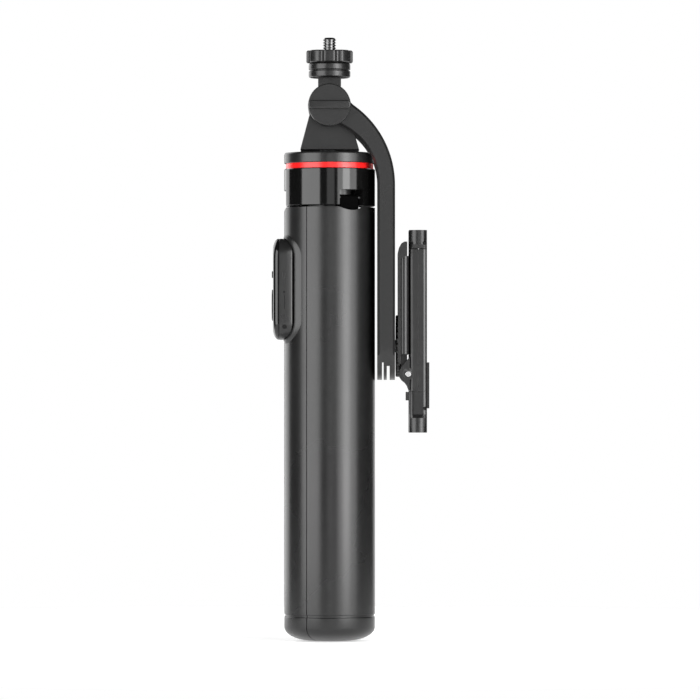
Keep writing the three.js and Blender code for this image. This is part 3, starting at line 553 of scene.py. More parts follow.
def leg_shell(levels=(), window=0.0):
    """One shell, pointing along +X. Levels and a window angle leave a hole for the dock."""
    mesh = bmesh.new()
    start = math.radians(-HALF)
    ends = [mesh.verts.new((r * math.cos(start), r * math.sin(start), GROOVE_TOP))
            for r in (HANDLE - WALL, HANDLE)]
    radial = mesh.edges.new(ends)
    bmesh.ops.spin(mesh, geom=ends + [radial], cent=(0, 0, 0), axis=(0, 0, 1),
                   angle=math.radians(2 * HALF), steps=LEG_STEPS)
    reach = HALF - 2 * HALF * (FLANGE_STEPS + 0.5) / LEG_STEPS
    for side in (-1, 1):
        inner = [e for e in mesh.edges if all(polar(v)[0] < HANDLE - WALL + 0.1 for v in e.verts)
                 and side * sum(polar(v)[1] for v in e.verts) / 2 > reach]
        grown = bmesh.ops.extrude_edge_only(mesh, edges=inner)["geom"]
        edge_angle = math.radians(60)
        outward = Vector((math.cos(edge_angle), side * math.sin(edge_angle), 0))
        bmesh.ops.translate(mesh, vec=-FLANGE_REACH * outward,
                            verts=[v for v in grown if isinstance(v, bmesh.types.BMVert)])
    bmesh.ops.recalc_face_normals(mesh, faces=mesh.faces)
    top = list(mesh.faces)
    for height in (*levels, LEG_TOP - RIM_HEIGHT):
        top = grow_up(mesh, top, height)
    rim = [f for f in top if all(polar(v)[0] > HANDLE - WALL - 0.1 for v in f.verts)]
    for face in grow_up(mesh, rim, LEG_TOP):
        for vert in face.verts:
            radius, angle = polar(vert)
            if radius < HANDLE - 1:
                vert.co.xy *= (HANDLE - RIM_LIP) / radius
            vert.co.z = LEG_TOP - RIM_DIP * max(0.0, 1 - (angle / DIP_HALF) ** 2)
    if window:
        low, high = levels
        open_faces = [f for f in mesh.faces if low < f.calc_center_median().z < high
                      and abs(polar_of(f)) < window and abs(f.normal.z) < 0.5]
        bmesh.ops.delete(mesh, geom=open_faces, context="FACES")
        bmesh.ops.bridge_loops(mesh, edges=[e for e in mesh.edges if e.is_boundary])
    return mesh


# %% The top of a leg and its lug
LEG_PIN = Vector((17.6, collar_low.z + 3.7))     # distance from the mast, height
LUG_EYE, LUG_HALF, LUG_DEPTH = 1.4, 5.0, 5.0
END_WALL = 3.5


def polar_of(face):
    """The angle of the middle of a face round the mast, in degrees."""
    middle = face.calc_center_median()
    return math.degrees(math.atan2(middle.y, middle.x))


def turned_to(mesh, degrees):
    """Turns a shape round the mast."""
    bmesh.ops.rotate(mesh, cent=(0, 0, 0), matrix=Matrix.Rotation(math.radians(degrees), 3, "Z"),
                     verts=mesh.verts)
    return mesh


def hinge_lug():
    """The tongue that carries a leg on its pin, with a round top."""
    foot_of_lug = LEG_TOP - LUG_DEPTH
    outline = [(LEG_PIN.x + LUG_EYE, foot_of_lug), *arc(LEG_PIN, LUG_EYE, 0, 180, 16),
               (LEG_PIN.x - LUG_EYE, foot_of_lug)]
    return slab(outline, "y", -LUG_HALF, LUG_HALF)


def end_wall():
    """Closes the top of a shell, under its rim."""
    reach, inner = HANDLE - WALL + 0.3, HANDLE - WALL - FLANGE_REACH
    half = HALF - 5
    outline = arc((0, 0), reach, -half, half, 24) + arc((0, 0), inner, half, -half, 24)
    return slab(outline, "z", LEG_TOP - RIM_HEIGHT - END_WALL, LEG_TOP - RIM_HEIGHT)


# %% Three legs
case_low, case_high = box_mm("remote_case")
WINDOW_INSET = 1.1
DOCK_WINDOW = (case_low.z + WINDOW_INSET, case_high.z - WINDOW_INSET)
WINDOW_ANGLE = 36.0
for side, angle in LEG_ANGLES.items():
    docked = {"levels": DOCK_WINDOW, "window": WINDOW_ANGLE} if side == "left" else {}
    stand_for(turned_to(leg_shell(**docked), angle), f"leg_shell_{side}_moulding",
              f"leg_shell_{side}", satin_black, edge=0.32)
    # lug and end wall take the painted shade black, so the notch over each leg reads as deep shade
    finish_piece(turned_to(join(hinge_lug(), end_wall()), angle), f"leg_lug_{side}", f"leg_{side}",
                 "shell_black", painted_shade_black, edge=0.25)

# %% [markdown]
# ## Feet
# Each leg ends in a cap that is pressed into the shell. A fine ring groove shows where they meet.
# The underside is softly domed and runs into the side on one long curve, so the profile is a
# quarter of an ellipse, spun through the same third of a turn as the leg.


# %% The feet
FOOT_FLAT, FOOT_RISE = 8.4, 6.6
FOOT_STEPS = 14
GROOVE_BOTTOM, GROOVE_DEPTH = 11.6, 0.5
SPIGOT_GAP, SPIGOT_WALL, CAP_FLOOR = 0.3, 2.0, 10.0


def foot_cap():
    """One foot with its spigot, pointing along +X."""
    spigot, groove = HANDLE - WALL - SPIGOT_GAP, HANDLE - GROOVE_DEPTH
    under = [(FOOT_FLAT + (HANDLE - FOOT_FLAT) * math.sin(t), FOOT_RISE * (1 - math.cos(t)))
             for t in (math.radians(90 * i / FOOT_STEPS) for i in range(FOOT_STEPS + 1))]
    profile = [*under, (HANDLE, GROOVE_BOTTOM - 0.25), (HANDLE - 0.25, GROOVE_BOTTOM),
               (groove, GROOVE_BOTTOM), (groove, GROOVE_TOP - 0.02), (spigot, GROOVE_TOP - 0.02),
               (spigot, foot_top), (spigot - SPIGOT_WALL, foot_top),
               (spigot - SPIGOT_WALL, CAP_FLOOR), (FOOT_FLAT, CAP_FLOOR)]
    start = math.radians(-HALF)
    mesh = bmesh.new()
    section = mesh.faces.new([mesh.verts.new((r * math.cos(start), r * math.sin(start), z))
                              for r, z in profile])
    bmesh.ops.spin(mesh, geom=[section], cent=(0, 0, 0), axis=(0, 0, 1),
                   angle=math.radians(2 * HALF), steps=LEG_STEPS)
    return mesh


for side, angle in LEG_ANGLES.items():
    stand_for(turned_to(foot_cap(), angle), f"leg_foot_{side}_cap", f"leg_foot_{side}", satin_black,
              edge=0.2)

# %% [markdown]
# ## Hub
# The hub is a polished collar, a red ring and a cap, stacked on the mast. The collar has a notch
# over each leg, where the lug swings. A notch could be cut out, but the collar is spun in steps
# of two degrees, so the faces of each notch are simply taken away and the opening is bridged.
# The ring and the cap are profiles spun once round.

# %% The collar
NOTCH_HALF = 17.0
NOTCH_TOP = collar_low.z + 7.5
HUB_BORE = 14.3
COLLAR_STEPS = 180
COLLAR_EDGE = 0.35
COLLAR_BORE = HUB_BORE + 1.2


def hub_collar():
    """The collar with its three notches."""
    outer = [(HANDLE - COLLAR_EDGE, collar_low.z), (HANDLE, collar_low.z + COLLAR_EDGE),
             (HANDLE, NOTCH_TOP), (HANDLE, collar_high.z - COLLAR_EDGE),
             (HANDLE - COLLAR_EDGE, collar_high.z)]
    inner = [(COLLAR_BORE, collar_high.z), (COLLAR_BORE, NOTCH_TOP), (COLLAR_BORE, collar_low.z)]
    mesh = turn([*outer, *inner, outer[0]], steps=COLLAR_STEPS, start=math.radians(1))
    for angle in LEG_ANGLES.values():
        inside = [f for f in mesh.faces
                  if abs((polar_of(f) - angle + 180) % 360 - 180) < NOTCH_HALF
                  and f.calc_center_median().z < NOTCH_TOP]
        bmesh.ops.delete(mesh, geom=inside, context="FACES")
        rim = [e for e in mesh.edges if e.is_boundary]
        level = 1e-6
        lower = [e for e in rim if abs(e.verts[0].co.z - e.verts[1].co.z) < level
                 and e.verts[0].co.z < collar_low.z + 0.001]
        chains = [e for e in rim if e not in lower]
        bmesh.ops.bridge_loops(mesh, edges=chains)
    return mesh


stand_for(hub_collar(), "hub_collar_moulding", "hub_collar", gloss_black, edge=0.0)

# %% The red ring and the cap
ring_low, ring_high = box_mm("accent_ring")
cap_low, cap_high = box_mm("hub_cap")
RING = ring_high.x / math.cos(math.pi / FACETS)
CAP_ROUND, CAP_SHOULDER, CAP_DISH = 1.3, 1.5, 6.0
ring_profile = [(HUB_BORE, ring_low.z), (RING, ring_low.z), (RING, ring_high.z),
                (HUB_BORE, ring_high.z), (HUB_BORE, ring_low.z)]
stand_for(turn(ring_profile, steps=128), "red_accent_ring", "accent_ring", accent_red, edge=0.12)
cap_profile = [(HUB_BORE, cap_low.z), (HANDLE - 0.2, cap_low.z), (HANDLE, cap_low.z + 0.2),
               (HANDLE, cap_high.z - CAP_SHOULDER),
               *arc((HANDLE - CAP_ROUND, cap_high.z - CAP_SHOULDER), CAP_ROUND, 0, 60, 6),
               (HANDLE - CAP_DISH, cap_high.z), (HUB_BORE + 0.3, cap_high.z),
               (HUB_BORE, cap_high.z - 0.3), (HUB_BORE, cap_low.z)]
stand_for(turn(cap_profile, steps=128), "hub_cap_moulding", "hub_cap", satin_black, crisp=20)

# %% [markdown]
# ## Mast
# Closed, the six mast tubes hide inside the legs, and only their end plug can be seen, from below.
# They come into view when the mast is pulled out. A merged copy of each tube would do, but its
# sides would show as facets in the gloss, so each one is spun again with many more sides.


# %% The mast
def stood(mesh, axis, at=(0, 0, 0)):
    """Lays a shape made along +Z so that it points along +X or -Y, and moves it to its place."""
    turns = {"x": Matrix.Rotation(math.pi / 2, 3, "Y"), "y": Matrix.Rotation(math.pi / 2, 3, "X")}
    bmesh.ops.rotate(mesh, cent=(0, 0, 0), matrix=turns[axis], verts=mesh.verts)
    bmesh.ops.translate(mesh, vec=at, verts=mesh.verts)
    return mesh


MAST_SIDES = 20                   # sides of a mast tube in the frame
TUBE_WALL = 0.8
TUBE_LIP = 0.25
TUBE_PLAY = 0.03                  # keeps the round tube inside the sided one
for number in range(1, 7):
    tube = f"mast_tube_{number}"
    low, high = box_mm(tube)
    radius = high.x / math.cos(math.pi / MAST_SIDES) - TUBE_PLAY
    bore = radius - TUBE_WALL
    profile = [(bore, low.z), (radius, low.z), (radius, high.z - TUBE_LIP),
               (radius - TUBE_LIP, high.z), (bore, high.z), (bore, low.z)]
    stand_for(turn(profile, steps=72), f"{tube}_drawn", tube, black_anodised, crisp=25)

# %% [markdown]
# ## Tilting head
# The fork stands on the smallest tube, and the neck turns in its slot on the pivot bolt. The neck
# carries a round base with a groove, the lock wheel and the camera screw. The fork and the neck
# are flat outlines made solid, and what is round is turned. The wheel's grip is eight hollows.
# They could be cut with eight cylinders, but it is simpler to turn a plain wheel in fine steps
# and to pull the points of its rim inward where a hollow is.

# %% The fork
PIVOT = Vector((0.0, 0.0, 256.1))
fork_low, fork_high = box_mm("head_fork")
wheel_low, wheel_high = box_mm("lock_wheel")
neck_top = box_mm("neck_block")[1].z
FORK_TOP = 10.3
FORK_SHOULDER = fork_low.z + 17.0
SLOT = 5.0
SLOT_FLOOR_HALF, SLOT_FLOOR_DROP = 8.8, 9.9
NECK_EYE, NECK_PLAY = 9.4, 0.3
STEM_HALF = 5.5
BASE, BASE_RISE = 10.0, 13.9
BASE_GROOVE_RISE, BASE_GROOVE_DEPTH = 3.5, 0.55


def fork_side():
    """Outline of the fork, seen along the pivot."""
    lean = math.degrees(math.asin((FORK_SHOULDER - PIVOT.z) / FORK_TOP))
    return [(fork_low.x, fork_low.z), (fork_high.x, fork_low.z),
            *arc((0, PIVOT.z), FORK_TOP, lean, 180 - lean, 40)]


foot_side = [(x, z) for x, z in fork_side() if z < FORK_SHOULDER + 0.1]
half = fork_high.y
fork = join(slab(fork_side(), "y", -half, -SLOT), slab(fork_side(), "y", SLOT, half),
            slab(foot_side[:2] + [(SLOT_FLOOR_HALF, PIVOT.z - SLOT_FLOOR_DROP),
                                  (-SLOT_FLOOR_HALF, PIVOT.z - SLOT_FLOOR_DROP)], "y", -SLOT, SLOT))
stand_for(fork, "head_fork_moulding", "head_fork", satin_black, edge=0.25)

# %% Neck and camera base
neck_half = SLOT - NECK_PLAY
neck_eye = slab(arc((0, PIVOT.z), NECK_EYE, 0, 360, 64)[:-1], "y", -neck_half, neck_half)
stem_top = PIVOT.z + BASE_RISE + 1
neck_stem = slab([(-STEM_HALF, PIVOT.z), (STEM_HALF, PIVOT.z), (STEM_HALF, stem_top),
                  (-STEM_HALF, stem_top)], "y", -neck_half, neck_half)
base_low, base_groove = PIVOT.z + BASE_RISE, PIVOT.z + BASE_RISE + BASE_GROOVE_RISE
groove_floor = BASE - BASE_GROOVE_DEPTH
base = turn([(0, base_low), (BASE - 0.8, base_low), (BASE - 0.25, base_low + 0.25),
             (BASE, base_low + 0.8), (BASE, base_groove - 0.45), (BASE - 0.2, base_groove - 0.3),
             (groove_floor, base_groove - 0.2), (groove_floor, base_groove + 0.2),
             (BASE - 0.2, base_groove + 0.3), (BASE, base_groove + 0.45), (BASE, neck_top - 0.8),
             (BASE - 0.25, neck_top - 0.25), (BASE - 0.8, neck_top), (0, neck_top)])
stand_for(join(neck_eye, neck_stem, base), "neck_block_moulding", "neck_block", satin_black,
          edge=0.2, crisp=45)

# %% Lock wheel and camera screw
WHEEL, WHEEL_BORE = 11.2, 3.35
LOBES = 8
HOLLOW = 1.15
HOLLOW_HALF = 0.22                # as a share of one lobe


def lock_wheel():
    """The wheel, with a hollow between each pair of lobes."""
    chamfer = 0.5
    bottom, top = wheel_low.z, wheel_high.z
    mesh = turn([(WHEEL_BORE, bottom), (WHEEL - chamfer, bottom), (WHEEL, bottom + chamfer),
                 (WHEEL, top - chamfer), (WHEEL - chamfer, top), (WHEEL_BORE, top),
                 (WHEEL_BORE, bottom)], steps=LOBES * 24)
    for vert in mesh.verts:
        radius, angle = polar(vert)
        if radius > WHEEL / 2:
            turn_in_lobe = (angle / 360 * LOBES) % 1
            near = abs(turn_in_lobe - 0.5) / HOLLOW_HALF
            vert.co.xy *= (radius - HOLLOW * max(0.0, 1 - near ** 2)) / radius
    return turned_to(mesh, -90)


stand_for(lock_wheel(), "lock_wheel_moulding", "lock_wheel", satin_black, crisp=28)

screw_low, screw_high = box_mm("camera_screw")
THREAD = 3.175
ROOT = THREAD - 0.62
PITCH = 1.27
THREAD_TURNS = 4
thread = [(0, screw_low.z), (THREAD, screw_low.z), (THREAD, wheel_high.z)]
for step in range(THREAD_TURNS):
    at = wheel_high.z + step * PITCH
    thread += [(ROOT, at + 0.45 * PITCH), (ROOT, at + 0.6 * PITCH), (THREAD, at + 0.95 * PITCH),
               (THREAD, at + 1.05 * PITCH)]
thread += [(ROOT + 0.1, screw_high.z - 0.25), (ROOT - 0.3, screw_high.z), (0, screw_high.z)]
stand_for(turn(thread, steps=72), "camera_screw_thread", "camera_screw", plated_screw, crisp=20)

# %% [markdown]
# ## Thumb knob
# The knob is a disc with a grip bar across it. The bar has round ends and stands a little proud.
# It could be one moulding with the disc, but two simple solids that sink into each other give the
# same edge where they meet.

# %% The knob
knob_low, knob_high = box_mm("thumb_knob")
KNOB = 10.1
BAR_HALF, BAR_PROUD = 1.95, 1.8
BAR_CORNER, BAR_EDGE = 1.7, 0.55
KNOB_BACK, KNOB_FACE = -knob_high.y, -knob_low.y - BAR_PROUD
disc = stood(turn([(0, KNOB_BACK), (KNOB - 0.3, KNOB_BACK), (KNOB, KNOB_BACK + 0.3),
                   (KNOB, KNOB_FACE - 0.7), (KNOB - 0.15, KNOB_FACE - 0.3),
                   (KNOB - 0.5, KNOB_FACE), (0, KNOB_FACE)]), "y", PIVOT)
bar = slab(rounded(-KNOB + 0.1, KNOB - 0.1, PIVOT.z - BAR_HALF, PIVOT.z + BAR_HALF, BAR_CORNER),
           "y", knob_low.y, -KNOB_FACE + 0.5)
bmesh.ops.bevel(bar, geom=[e for e in bar.edges if all(v.co.y < knob_low.y + 0.1 for v in e.verts)],
                offset=BAR_EDGE, segments=4, affect="EDGES", profile=0.5, material=-1)
stand_for(join(disc, bar), "thumb_knob_moulding", "thumb_knob", satin_black, crisp=24)

# %% [markdown]
# ## Phone arm
# The arm is a flat bar that bends over the hub and splits into two cheeks round the head. Seen
# from the side it is a strip of even width, so it starts as a grid of faces between its inner and
# outer curves, with the eye as one more face on the end. That grid is pulled across to the inner
# side of a cheek, and only the lower part further, to the middle. The other half is its mirror.
# Two slots are left out of the grid, and the lower end is drawn in to a half circle.

# %% The arm
arm_high = box_mm("arm_yoke")[1]
ARM_INNER = 22.9
ARM_OUTER = arm_high.x
ARM_HALF = arm_high.y
CHEEK = 4.5
CHEEK_INNER = ARM_HALF - CHEEK
WEB_TOP = PIVOT.z - 30.1
SWIVEL = Vector((0.0, 0.0, 141.3))
EYE = 10.1
SLOTS = {1: 133.5, 3: 131.8}      # column of the grid, top of its slot
COLUMNS = [ARM_INNER, 25.1, 26.0, 27.4, 28.9, ARM_OUTER]
BEND_ROWS = 22
INNER_BEND = (30.0, 37.0, 70.2)   # radius, drop of its centre below the pivot, end angle
OUTER_BEND = (46.6, 38.1, 54.9)
ARM_CHAMFER = 1.1
CHAMFER_START = 136.0


def bend(side, radius, drop, last):
    """Points up one side of the arm's bend."""
    return arc((side - radius, PIVOT.z - drop), radius, 0, last, BEND_ROWS)


def arm_rows():
    """Pairs of inner and outer points from the arm's lower end to its eye."""
    below = [SWIVEL.z - ARM_HALF * math.sin(math.radians(a)) for a in (80, 70, 60, 50, 40)]
    heights = [*below, *sorted(SLOTS.values()), SWIVEL.z - 4, SWIVEL.z, 160.0, 190.0, WEB_TOP - 12]
    rows = [((ARM_INNER, z), (ARM_OUTER, z)) for z in heights]
    return rows + list(zip(bend(ARM_INNER, *INNER_BEND), bend(ARM_OUTER, *OUTER_BEND)))


def phone_arm():
    """Half of the arm as a solid, then its mirror."""
    mesh = bmesh.new()
    shares = [(x - ARM_INNER) / (ARM_OUTER - ARM_INNER) for x in COLUMNS]
    grid = [[mesh.verts.new((a[0] + s * (b[0] - a[0]), -ARM_HALF, a[1] + s * (b[1] - a[1])))
             for s in shares] for a, b in arm_rows()]
    for lower, upper in zip(grid, grid[1:]):
        for column in range(len(shares) - 1):
            if upper[0].co.z > SLOTS.get(column, 0) + 0.01:
                mesh.faces.new((lower[column], lower[column + 1], upper[column + 1], upper[column]))
    rim = [mesh.verts.new((x, -ARM_HALF, z)) for x, z in arc((0, PIVOT.z), EYE, 8, 284, 60)]
    mesh.faces.new([*reversed(rim), *reversed(grid[-1])])
    bmesh.ops.recalc_face_normals(mesh, faces=mesh.faces)
    layer = list(mesh.faces)
    grown = bmesh.ops.extrude_face_region(mesh, geom=layer, use_keep_orig=True)["geom"]
    for vert in (v for v in grown if isinstance(v, bmesh.types.BMVert)):
        vert.co.y = -CHEEK_INNER
    web = [f for f in grown if isinstance(f, bmesh.types.BMFace)
           and max(v.co.z for v in f.verts) < WEB_TOP]
    grown = bmesh.ops.extrude_face_region(mesh, geom=web)["geom"]
    for vert in (v for v in grown if isinstance(v, bmesh.types.BMVert)):
        vert.co.y = 0.0
    bmesh.ops.delete(mesh, geom=[f for f in mesh.faces if all(abs(v.co.y) < 0.01 for v in f.verts)],
                     context="FACES")
    for vert in mesh.verts:
        drop = (SWIVEL.z - vert.co.z) / ARM_HALF
        if drop > 0:
            vert.co.y *= math.sqrt(1 - drop ** 2)
    bmesh.ops.mirror(mesh, geom=mesh.verts[:] + mesh.edges[:] + mesh.faces[:], axis="Y",
                     merge_dist=0.001)
    bmesh.ops.recalc_face_normals(mesh, faces=mesh.faces)
    steep = 0.8
    outline = [e for e in mesh.edges if len(e.link_faces) == 2 and e.calc_face_angle() > steep
               and min(v.co.z for v in e.verts) > CHAMFER_START
               and all(abs(v.co.y) > ARM_HALF * 0.9 for v in e.verts)]
    bmesh.ops.bevel(mesh, geom=outline, offset=ARM_CHAMFER, segments=1, affect="EDGES", profile=0.5,
                    material=-1, clamp_overlap=False)
    return mesh


stand_for(phone_arm(), "arm_yoke_moulding", "arm_yoke", satin_black, crisp=34)

# %% [markdown]
# ## Clamp swivel and hinge plate
# A knurled disc turns on the lower end of the arm. It carries a thin plate, and the clamp folds
# on a pin at that plate's lower end. The disc's rim has shallow scallops all round, made like the
# hollows of the lock wheel. The plate is four simple solids that sink into each other: the plate
# itself, which is thick only at its top, a rounded rail in front of it, the knuckle and its link.

# %% Swivel disc and hinge plate
disc_low, disc_high = box_mm("swivel_disc")
plate_low, plate_high = box_mm("hinge_plate")
CLAMP_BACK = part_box("lower_jaw")[0][0] / MM
DISC, DISC_BORE, DISC_EDGE = 14.8, 3.3, 0.4
SCALLOPS, SCALLOP_DEPTH = 28, 0.9
TILT = Vector((37.6, 0.0, 127.8))
KNUCKLE, KNUCKLE_HALF = 2.9, 8.2
PLATE, PLATE_THIN = 4.4, 1.2
RAIL_START, RAIL_CORNER = 137.2, 2.2


def scalloped_disc():
    """The swivel disc, with a scalloped rim."""
    thick = disc_high.x - disc_low.x
    mesh = turn([(DISC_BORE, 0), (DISC - DISC_EDGE, 0), (DISC, DISC_EDGE), (DISC, thick - DISC_EDGE),
                 (DISC - DISC_EDGE, thick), (DISC_BORE, thick), (DISC_BORE, 0)], steps=SCALLOPS * 8)
    for vert in mesh.verts:
        radius, angle = polar(vert)
        if radius > DISC / 2:
            wave = 0.5 - 0.5 * math.cos(math.radians(angle * SCALLOPS))
            vert.co.xy *= (radius - SCALLOP_DEPTH * wave) / radius
    return stood(mesh, "x", (disc_low.x, 0, SWIVEL.z))


stand_for(scalloped_disc(), "swivel_disc_knurled", "swivel_disc", satin_black, crisp=40)


def hinge_plate():
    """A thin plate, thick at its upper end, with a rounded rail and the knuckle."""
    back, half, top = plate_low.x, plate_high.y, plate_high.z
    front, thin, step = back + PLATE, back + PLATE_THIN, top - 6.4
    side = [(thin, 132.4), (thin, step - 2), (front, step), (front, top), (back + 3.0, top),
            (back + 1.6, top - 0.9), (back + 0.5, top - 2.8), (back, top - 5.0), (back, 133.4)]
    mesh = slab(side, "y", -half, half)
    rail = slab(rounded(back + 0.6, CLAMP_BACK - 0.15, -half + 0.25, half - 0.25, RAIL_CORNER), "z",
                RAIL_START, step - 0.4)
    knuckle = slab(arc((TILT.x, TILT.z), KNUCKLE, 0, 360, 40)[:-1], "y", -KNUCKLE_HALF, KNUCKLE_HALF)
    link = slab([(TILT.x - KNUCKLE, TILT.z), (front, TILT.z), (front, RAIL_START + 0.8),
                 (back + 0.5, RAIL_START + 0.8)], "y", -KNUCKLE_HALF, KNUCKLE_HALF)
    return join(mesh, rail, knuckle, link)


stand_for(hinge_plate(), "hinge_plate_moulding", "hinge_plate", satin_black, edge=0.2)

# %% [markdown]
# ## Phone clamp
# The clamp is a long flat bar with half-round sides. A flat is milled along each side, and where
# the cutter ran out it left a curved end. The bar is split lengthways and across, into a body, a
# cover and two jaws. These shapes carry many pockets, so each starts as a merged copy of its own
# node. The flat is pressed into it: the mesh is cut across where the flat starts and ends, and
# what stands outside it is moved in. The seams are closed to fine lines in the same way. Two ears
# on the body hold the tilt pin.

# %% Tools for the clamp
FLAT_HALF = 12.6
FLAT_START, FLAT_RAMP = 108.5, 1.7
FLAT_END = box_mm("upper_jaw")[1].z - 8.6
SEAM_LINE = 0.03


def cut_across(mesh, *heights):
    """Adds a level line round a shape at each height."""
    for height in heights:
        bmesh.ops.bisect_plane(mesh, geom=mesh.verts[:] + mesh.edges[:] + mesh.faces[:],
                               plane_co=(0, 0, height), plane_no=(0, 0, 1))
    return mesh


def milled(mesh):
    """Presses the milled flats into a copy of one part of the clamp."""
    cut_across(mesh, FLAT_START - FLAT_RAMP, FLAT_START, FLAT_END, FLAT_END + FLAT_RAMP)
    for vert in mesh.verts:
        on_flat = FLAT_START - 0.01 < vert.co.z < FLAT_END + 0.01 and vert.co.x > CLAMP_BACK - 0.01
        if on_flat and abs(vert.co.y) > FLAT_HALF:
            vert.co.y = math.copysign(FLAT_HALF, vert.co.y)
    return mesh


def closed_seam(mesh, axis, place, target):
    """Moves the vertices at one place along an axis to another place."""
    for vert in mesh.verts:
        if abs(vert.co[axis] - place) < 0.02:
            vert.co[axis] = target
    return mesh


# %% The clamp
body_front = box_mm("clamp_body")[1].x
cover_low = box_mm("clamp_cover")[0]
middle_x = (body_front + cover_low.x) / 2
jaw_top = box_mm("lower_jaw")[1].z
lower_seam = (jaw_top + cover_low.z) / 2
round_bar = {"edge": 0.12, "crisp": 20}
body = closed_seam(milled(from_frame("clamp_body")), 0, body_front, middle_x - SEAM_LINE)
cover = closed_seam(milled(from_frame("clamp_cover")), 0, cover_low.x, middle_x + SEAM_LINE)
for mesh in (body, cover):
    closed_seam(mesh, 2, cover_low.z, lower_seam + SEAM_LINE)
lower = closed_seam(milled(from_frame("lower_jaw")), 2, jaw_top, lower_seam - SEAM_LINE)
ear_side = [(CLAMP_BACK + 0.3, 135.8), (34.4, 131.2), (33.6, 129.6), (33.3, 128.0), (33.6, 126.4),
            (34.6, 124.9), (36.2, 123.6), (37.2, 122.2), (37.9, 120.2), (CLAMP_BACK + 0.3, 120.0)]
EAR_INNER, EAR_OUTER = 8.5, 13.3
ears = [slab(ear_side, "y", EAR_INNER, EAR_OUTER), slab(ear_side, "y", -EAR_OUTER, -EAR_INNER)]
stand_for(join(body, *ears), "clamp_body_moulding", "clamp_body", satin_black, **round_bar)
stand_for(cover, "clamp_cover_moulding", "clamp_cover", satin_black, **round_bar)
stand_for(lower, "lower_jaw_moulding", "lower_jaw", satin_black, **round_bar)
stand_for(milled(from_frame("upper_jaw")), "upper_jaw_moulding", "upper_jaw", satin_black, **round_bar)

# %% The fingers
PIN_SHORTER = 0.93                # so that the pins' ends lie below the side faces
for end in ("lower", "upper"):
    stand_for(from_frame(f"{end}_finger"), f"{end}_finger_blade", f"{end}_finger", satin_black, edge=0.3)
    pin = from_frame(f"{end}_finger_pin")
    bmesh.ops.scale(pin, vec=(1, PIN_SHORTER, 1), verts=pin.verts)
    stand_for(pin, f"{end}_finger_axle", f"{end}_finger_pin", blackened_steel)

# %% [markdown]
# ## Remote control
# The remote sits in a raised dock on the left leg. Its case is a rounded slab, and its front is
# drawn in all round, most at the two ends. That shape could be made with a large bevel, but the
# ends and the sides have different curves, so it is built from rounded outlines, one inside the
# other, bridged in order. The buttons are turned, and sink into the front a little.

# %% Tools for the remote
front_low, front_high = box_mm("remote_cover")
R_LOW, R_HIGH = case_low.z, case_high.z
R_HALF = case_high.y
R_CORNER = 9.0
R_BACK, R_SPLIT = -case_high.x, -front_high.x + 0.15
R_FRONT = -front_low.x
SHUTTER = (0.0, R_LOW + 16.5)
MODE = (0.0, R_LOW + 31.2)
SHUTTER_R, MODE_R = 7.5, 1.65


def remote_outline(ends=0.0, sides=0.0, steps=10):
    """Outline of the remote, drawn in at its ends and its sides."""
    corner = max(R_CORNER - (ends + sides) / 2, 1.5)
    return rounded(-R_HALF + sides, R_HALF - sides, R_LOW + ends, R_HIGH - ends, corner, steps)


def lofted(layers, closed=True):
    """Bridges outlines of (y, z) points, each at its own place along X."""
    mesh = bmesh.new()
    loops = []
    for place, outline in layers:
        verts = [mesh.verts.new((place(p) if callable(place) else place, *p)) for p in outline]
        loops.append([mesh.edges.new((a, b)) for a, b in zip(verts, verts[1:] + verts[:1])])
        if closed and len(loops) in (1, len(layers)):
            mesh.faces.new(verts)
    for first, second in zip(loops, loops[1:]):
        bmesh.ops.bridge_loops(mesh, edges=first + second)
    bmesh.ops.recalc_face_normals(mesh, faces=mesh.faces)
    return mesh


def to_the_left(mesh):
    """Turns a shape made along +X round to the left leg."""
    return turned_to(mesh, 180)


# %% Case and front
GAP = 0.03
ROUND_STEPS = 9
ROUND_X, ROUND_ENDS, ROUND_SIDES = R_FRONT - R_SPLIT, 5.2, 3.0
case = lofted([(R_BACK, remote_outline(0.8, 0.8)), (R_BACK + 0.25, remote_outline(0.25, 0.25)),
               (R_BACK + 0.8, remote_outline()), (R_SPLIT - 0.2, remote_outline()),
               (R_SPLIT - GAP, remote_outline(0.15, 0.15))])
stand_for(to_the_left(case), "remote_case_moulding", "remote_case", satin_black, crisp=40)
layers = [(R_SPLIT + GAP, remote_outline(0.15, 0.15)), (R_SPLIT + 0.2, remote_outline())]
for step in range(1, ROUND_STEPS + 1):
    t = math.radians(90 / ROUND_STEPS * step)
    layers.append((R_SPLIT + 0.2 + (ROUND_X - 0.2) * math.sin(t),
                   remote_outline(ROUND_ENDS * (1 - math.cos(t)), ROUND_SIDES * (1 - math.cos(t)))))
cover = lofted(layers)
stand_for(to_the_left(cover), "remote_cover_moulding", "remote_cover", gloss_black, crisp=40)


# %% Buttons and side marks
BUTTON_EDGE = 0.18
BUTTON_GAP = 0.1
SHUTTER_DISH = 0.15
MARK_PROUD = 0.03


def button(centre, radius, node, name, dish):
    """A round button with a dished face."""
    low, high = box_mm(node)
    back, rise = -high.x, high.x - low.x
    mesh = stood(turn([(0, 0), (radius, 0), (radius, rise - BUTTON_EDGE), (radius - BUTTON_EDGE, rise),
                       (radius * 0.8, rise - dish * 0.3), (radius * 0.4, rise - dish), (0, rise - dish)],
                      steps=64), "x", (back, *centre))
    stand_for(to_the_left(mesh), name, node, satin_black, crisp=35)


def side_mark(outline):
    """A thin mark on the side of the remote."""
    return slab(outline, "y", R_HALF - 1, R_HALF + MARK_PROUD)


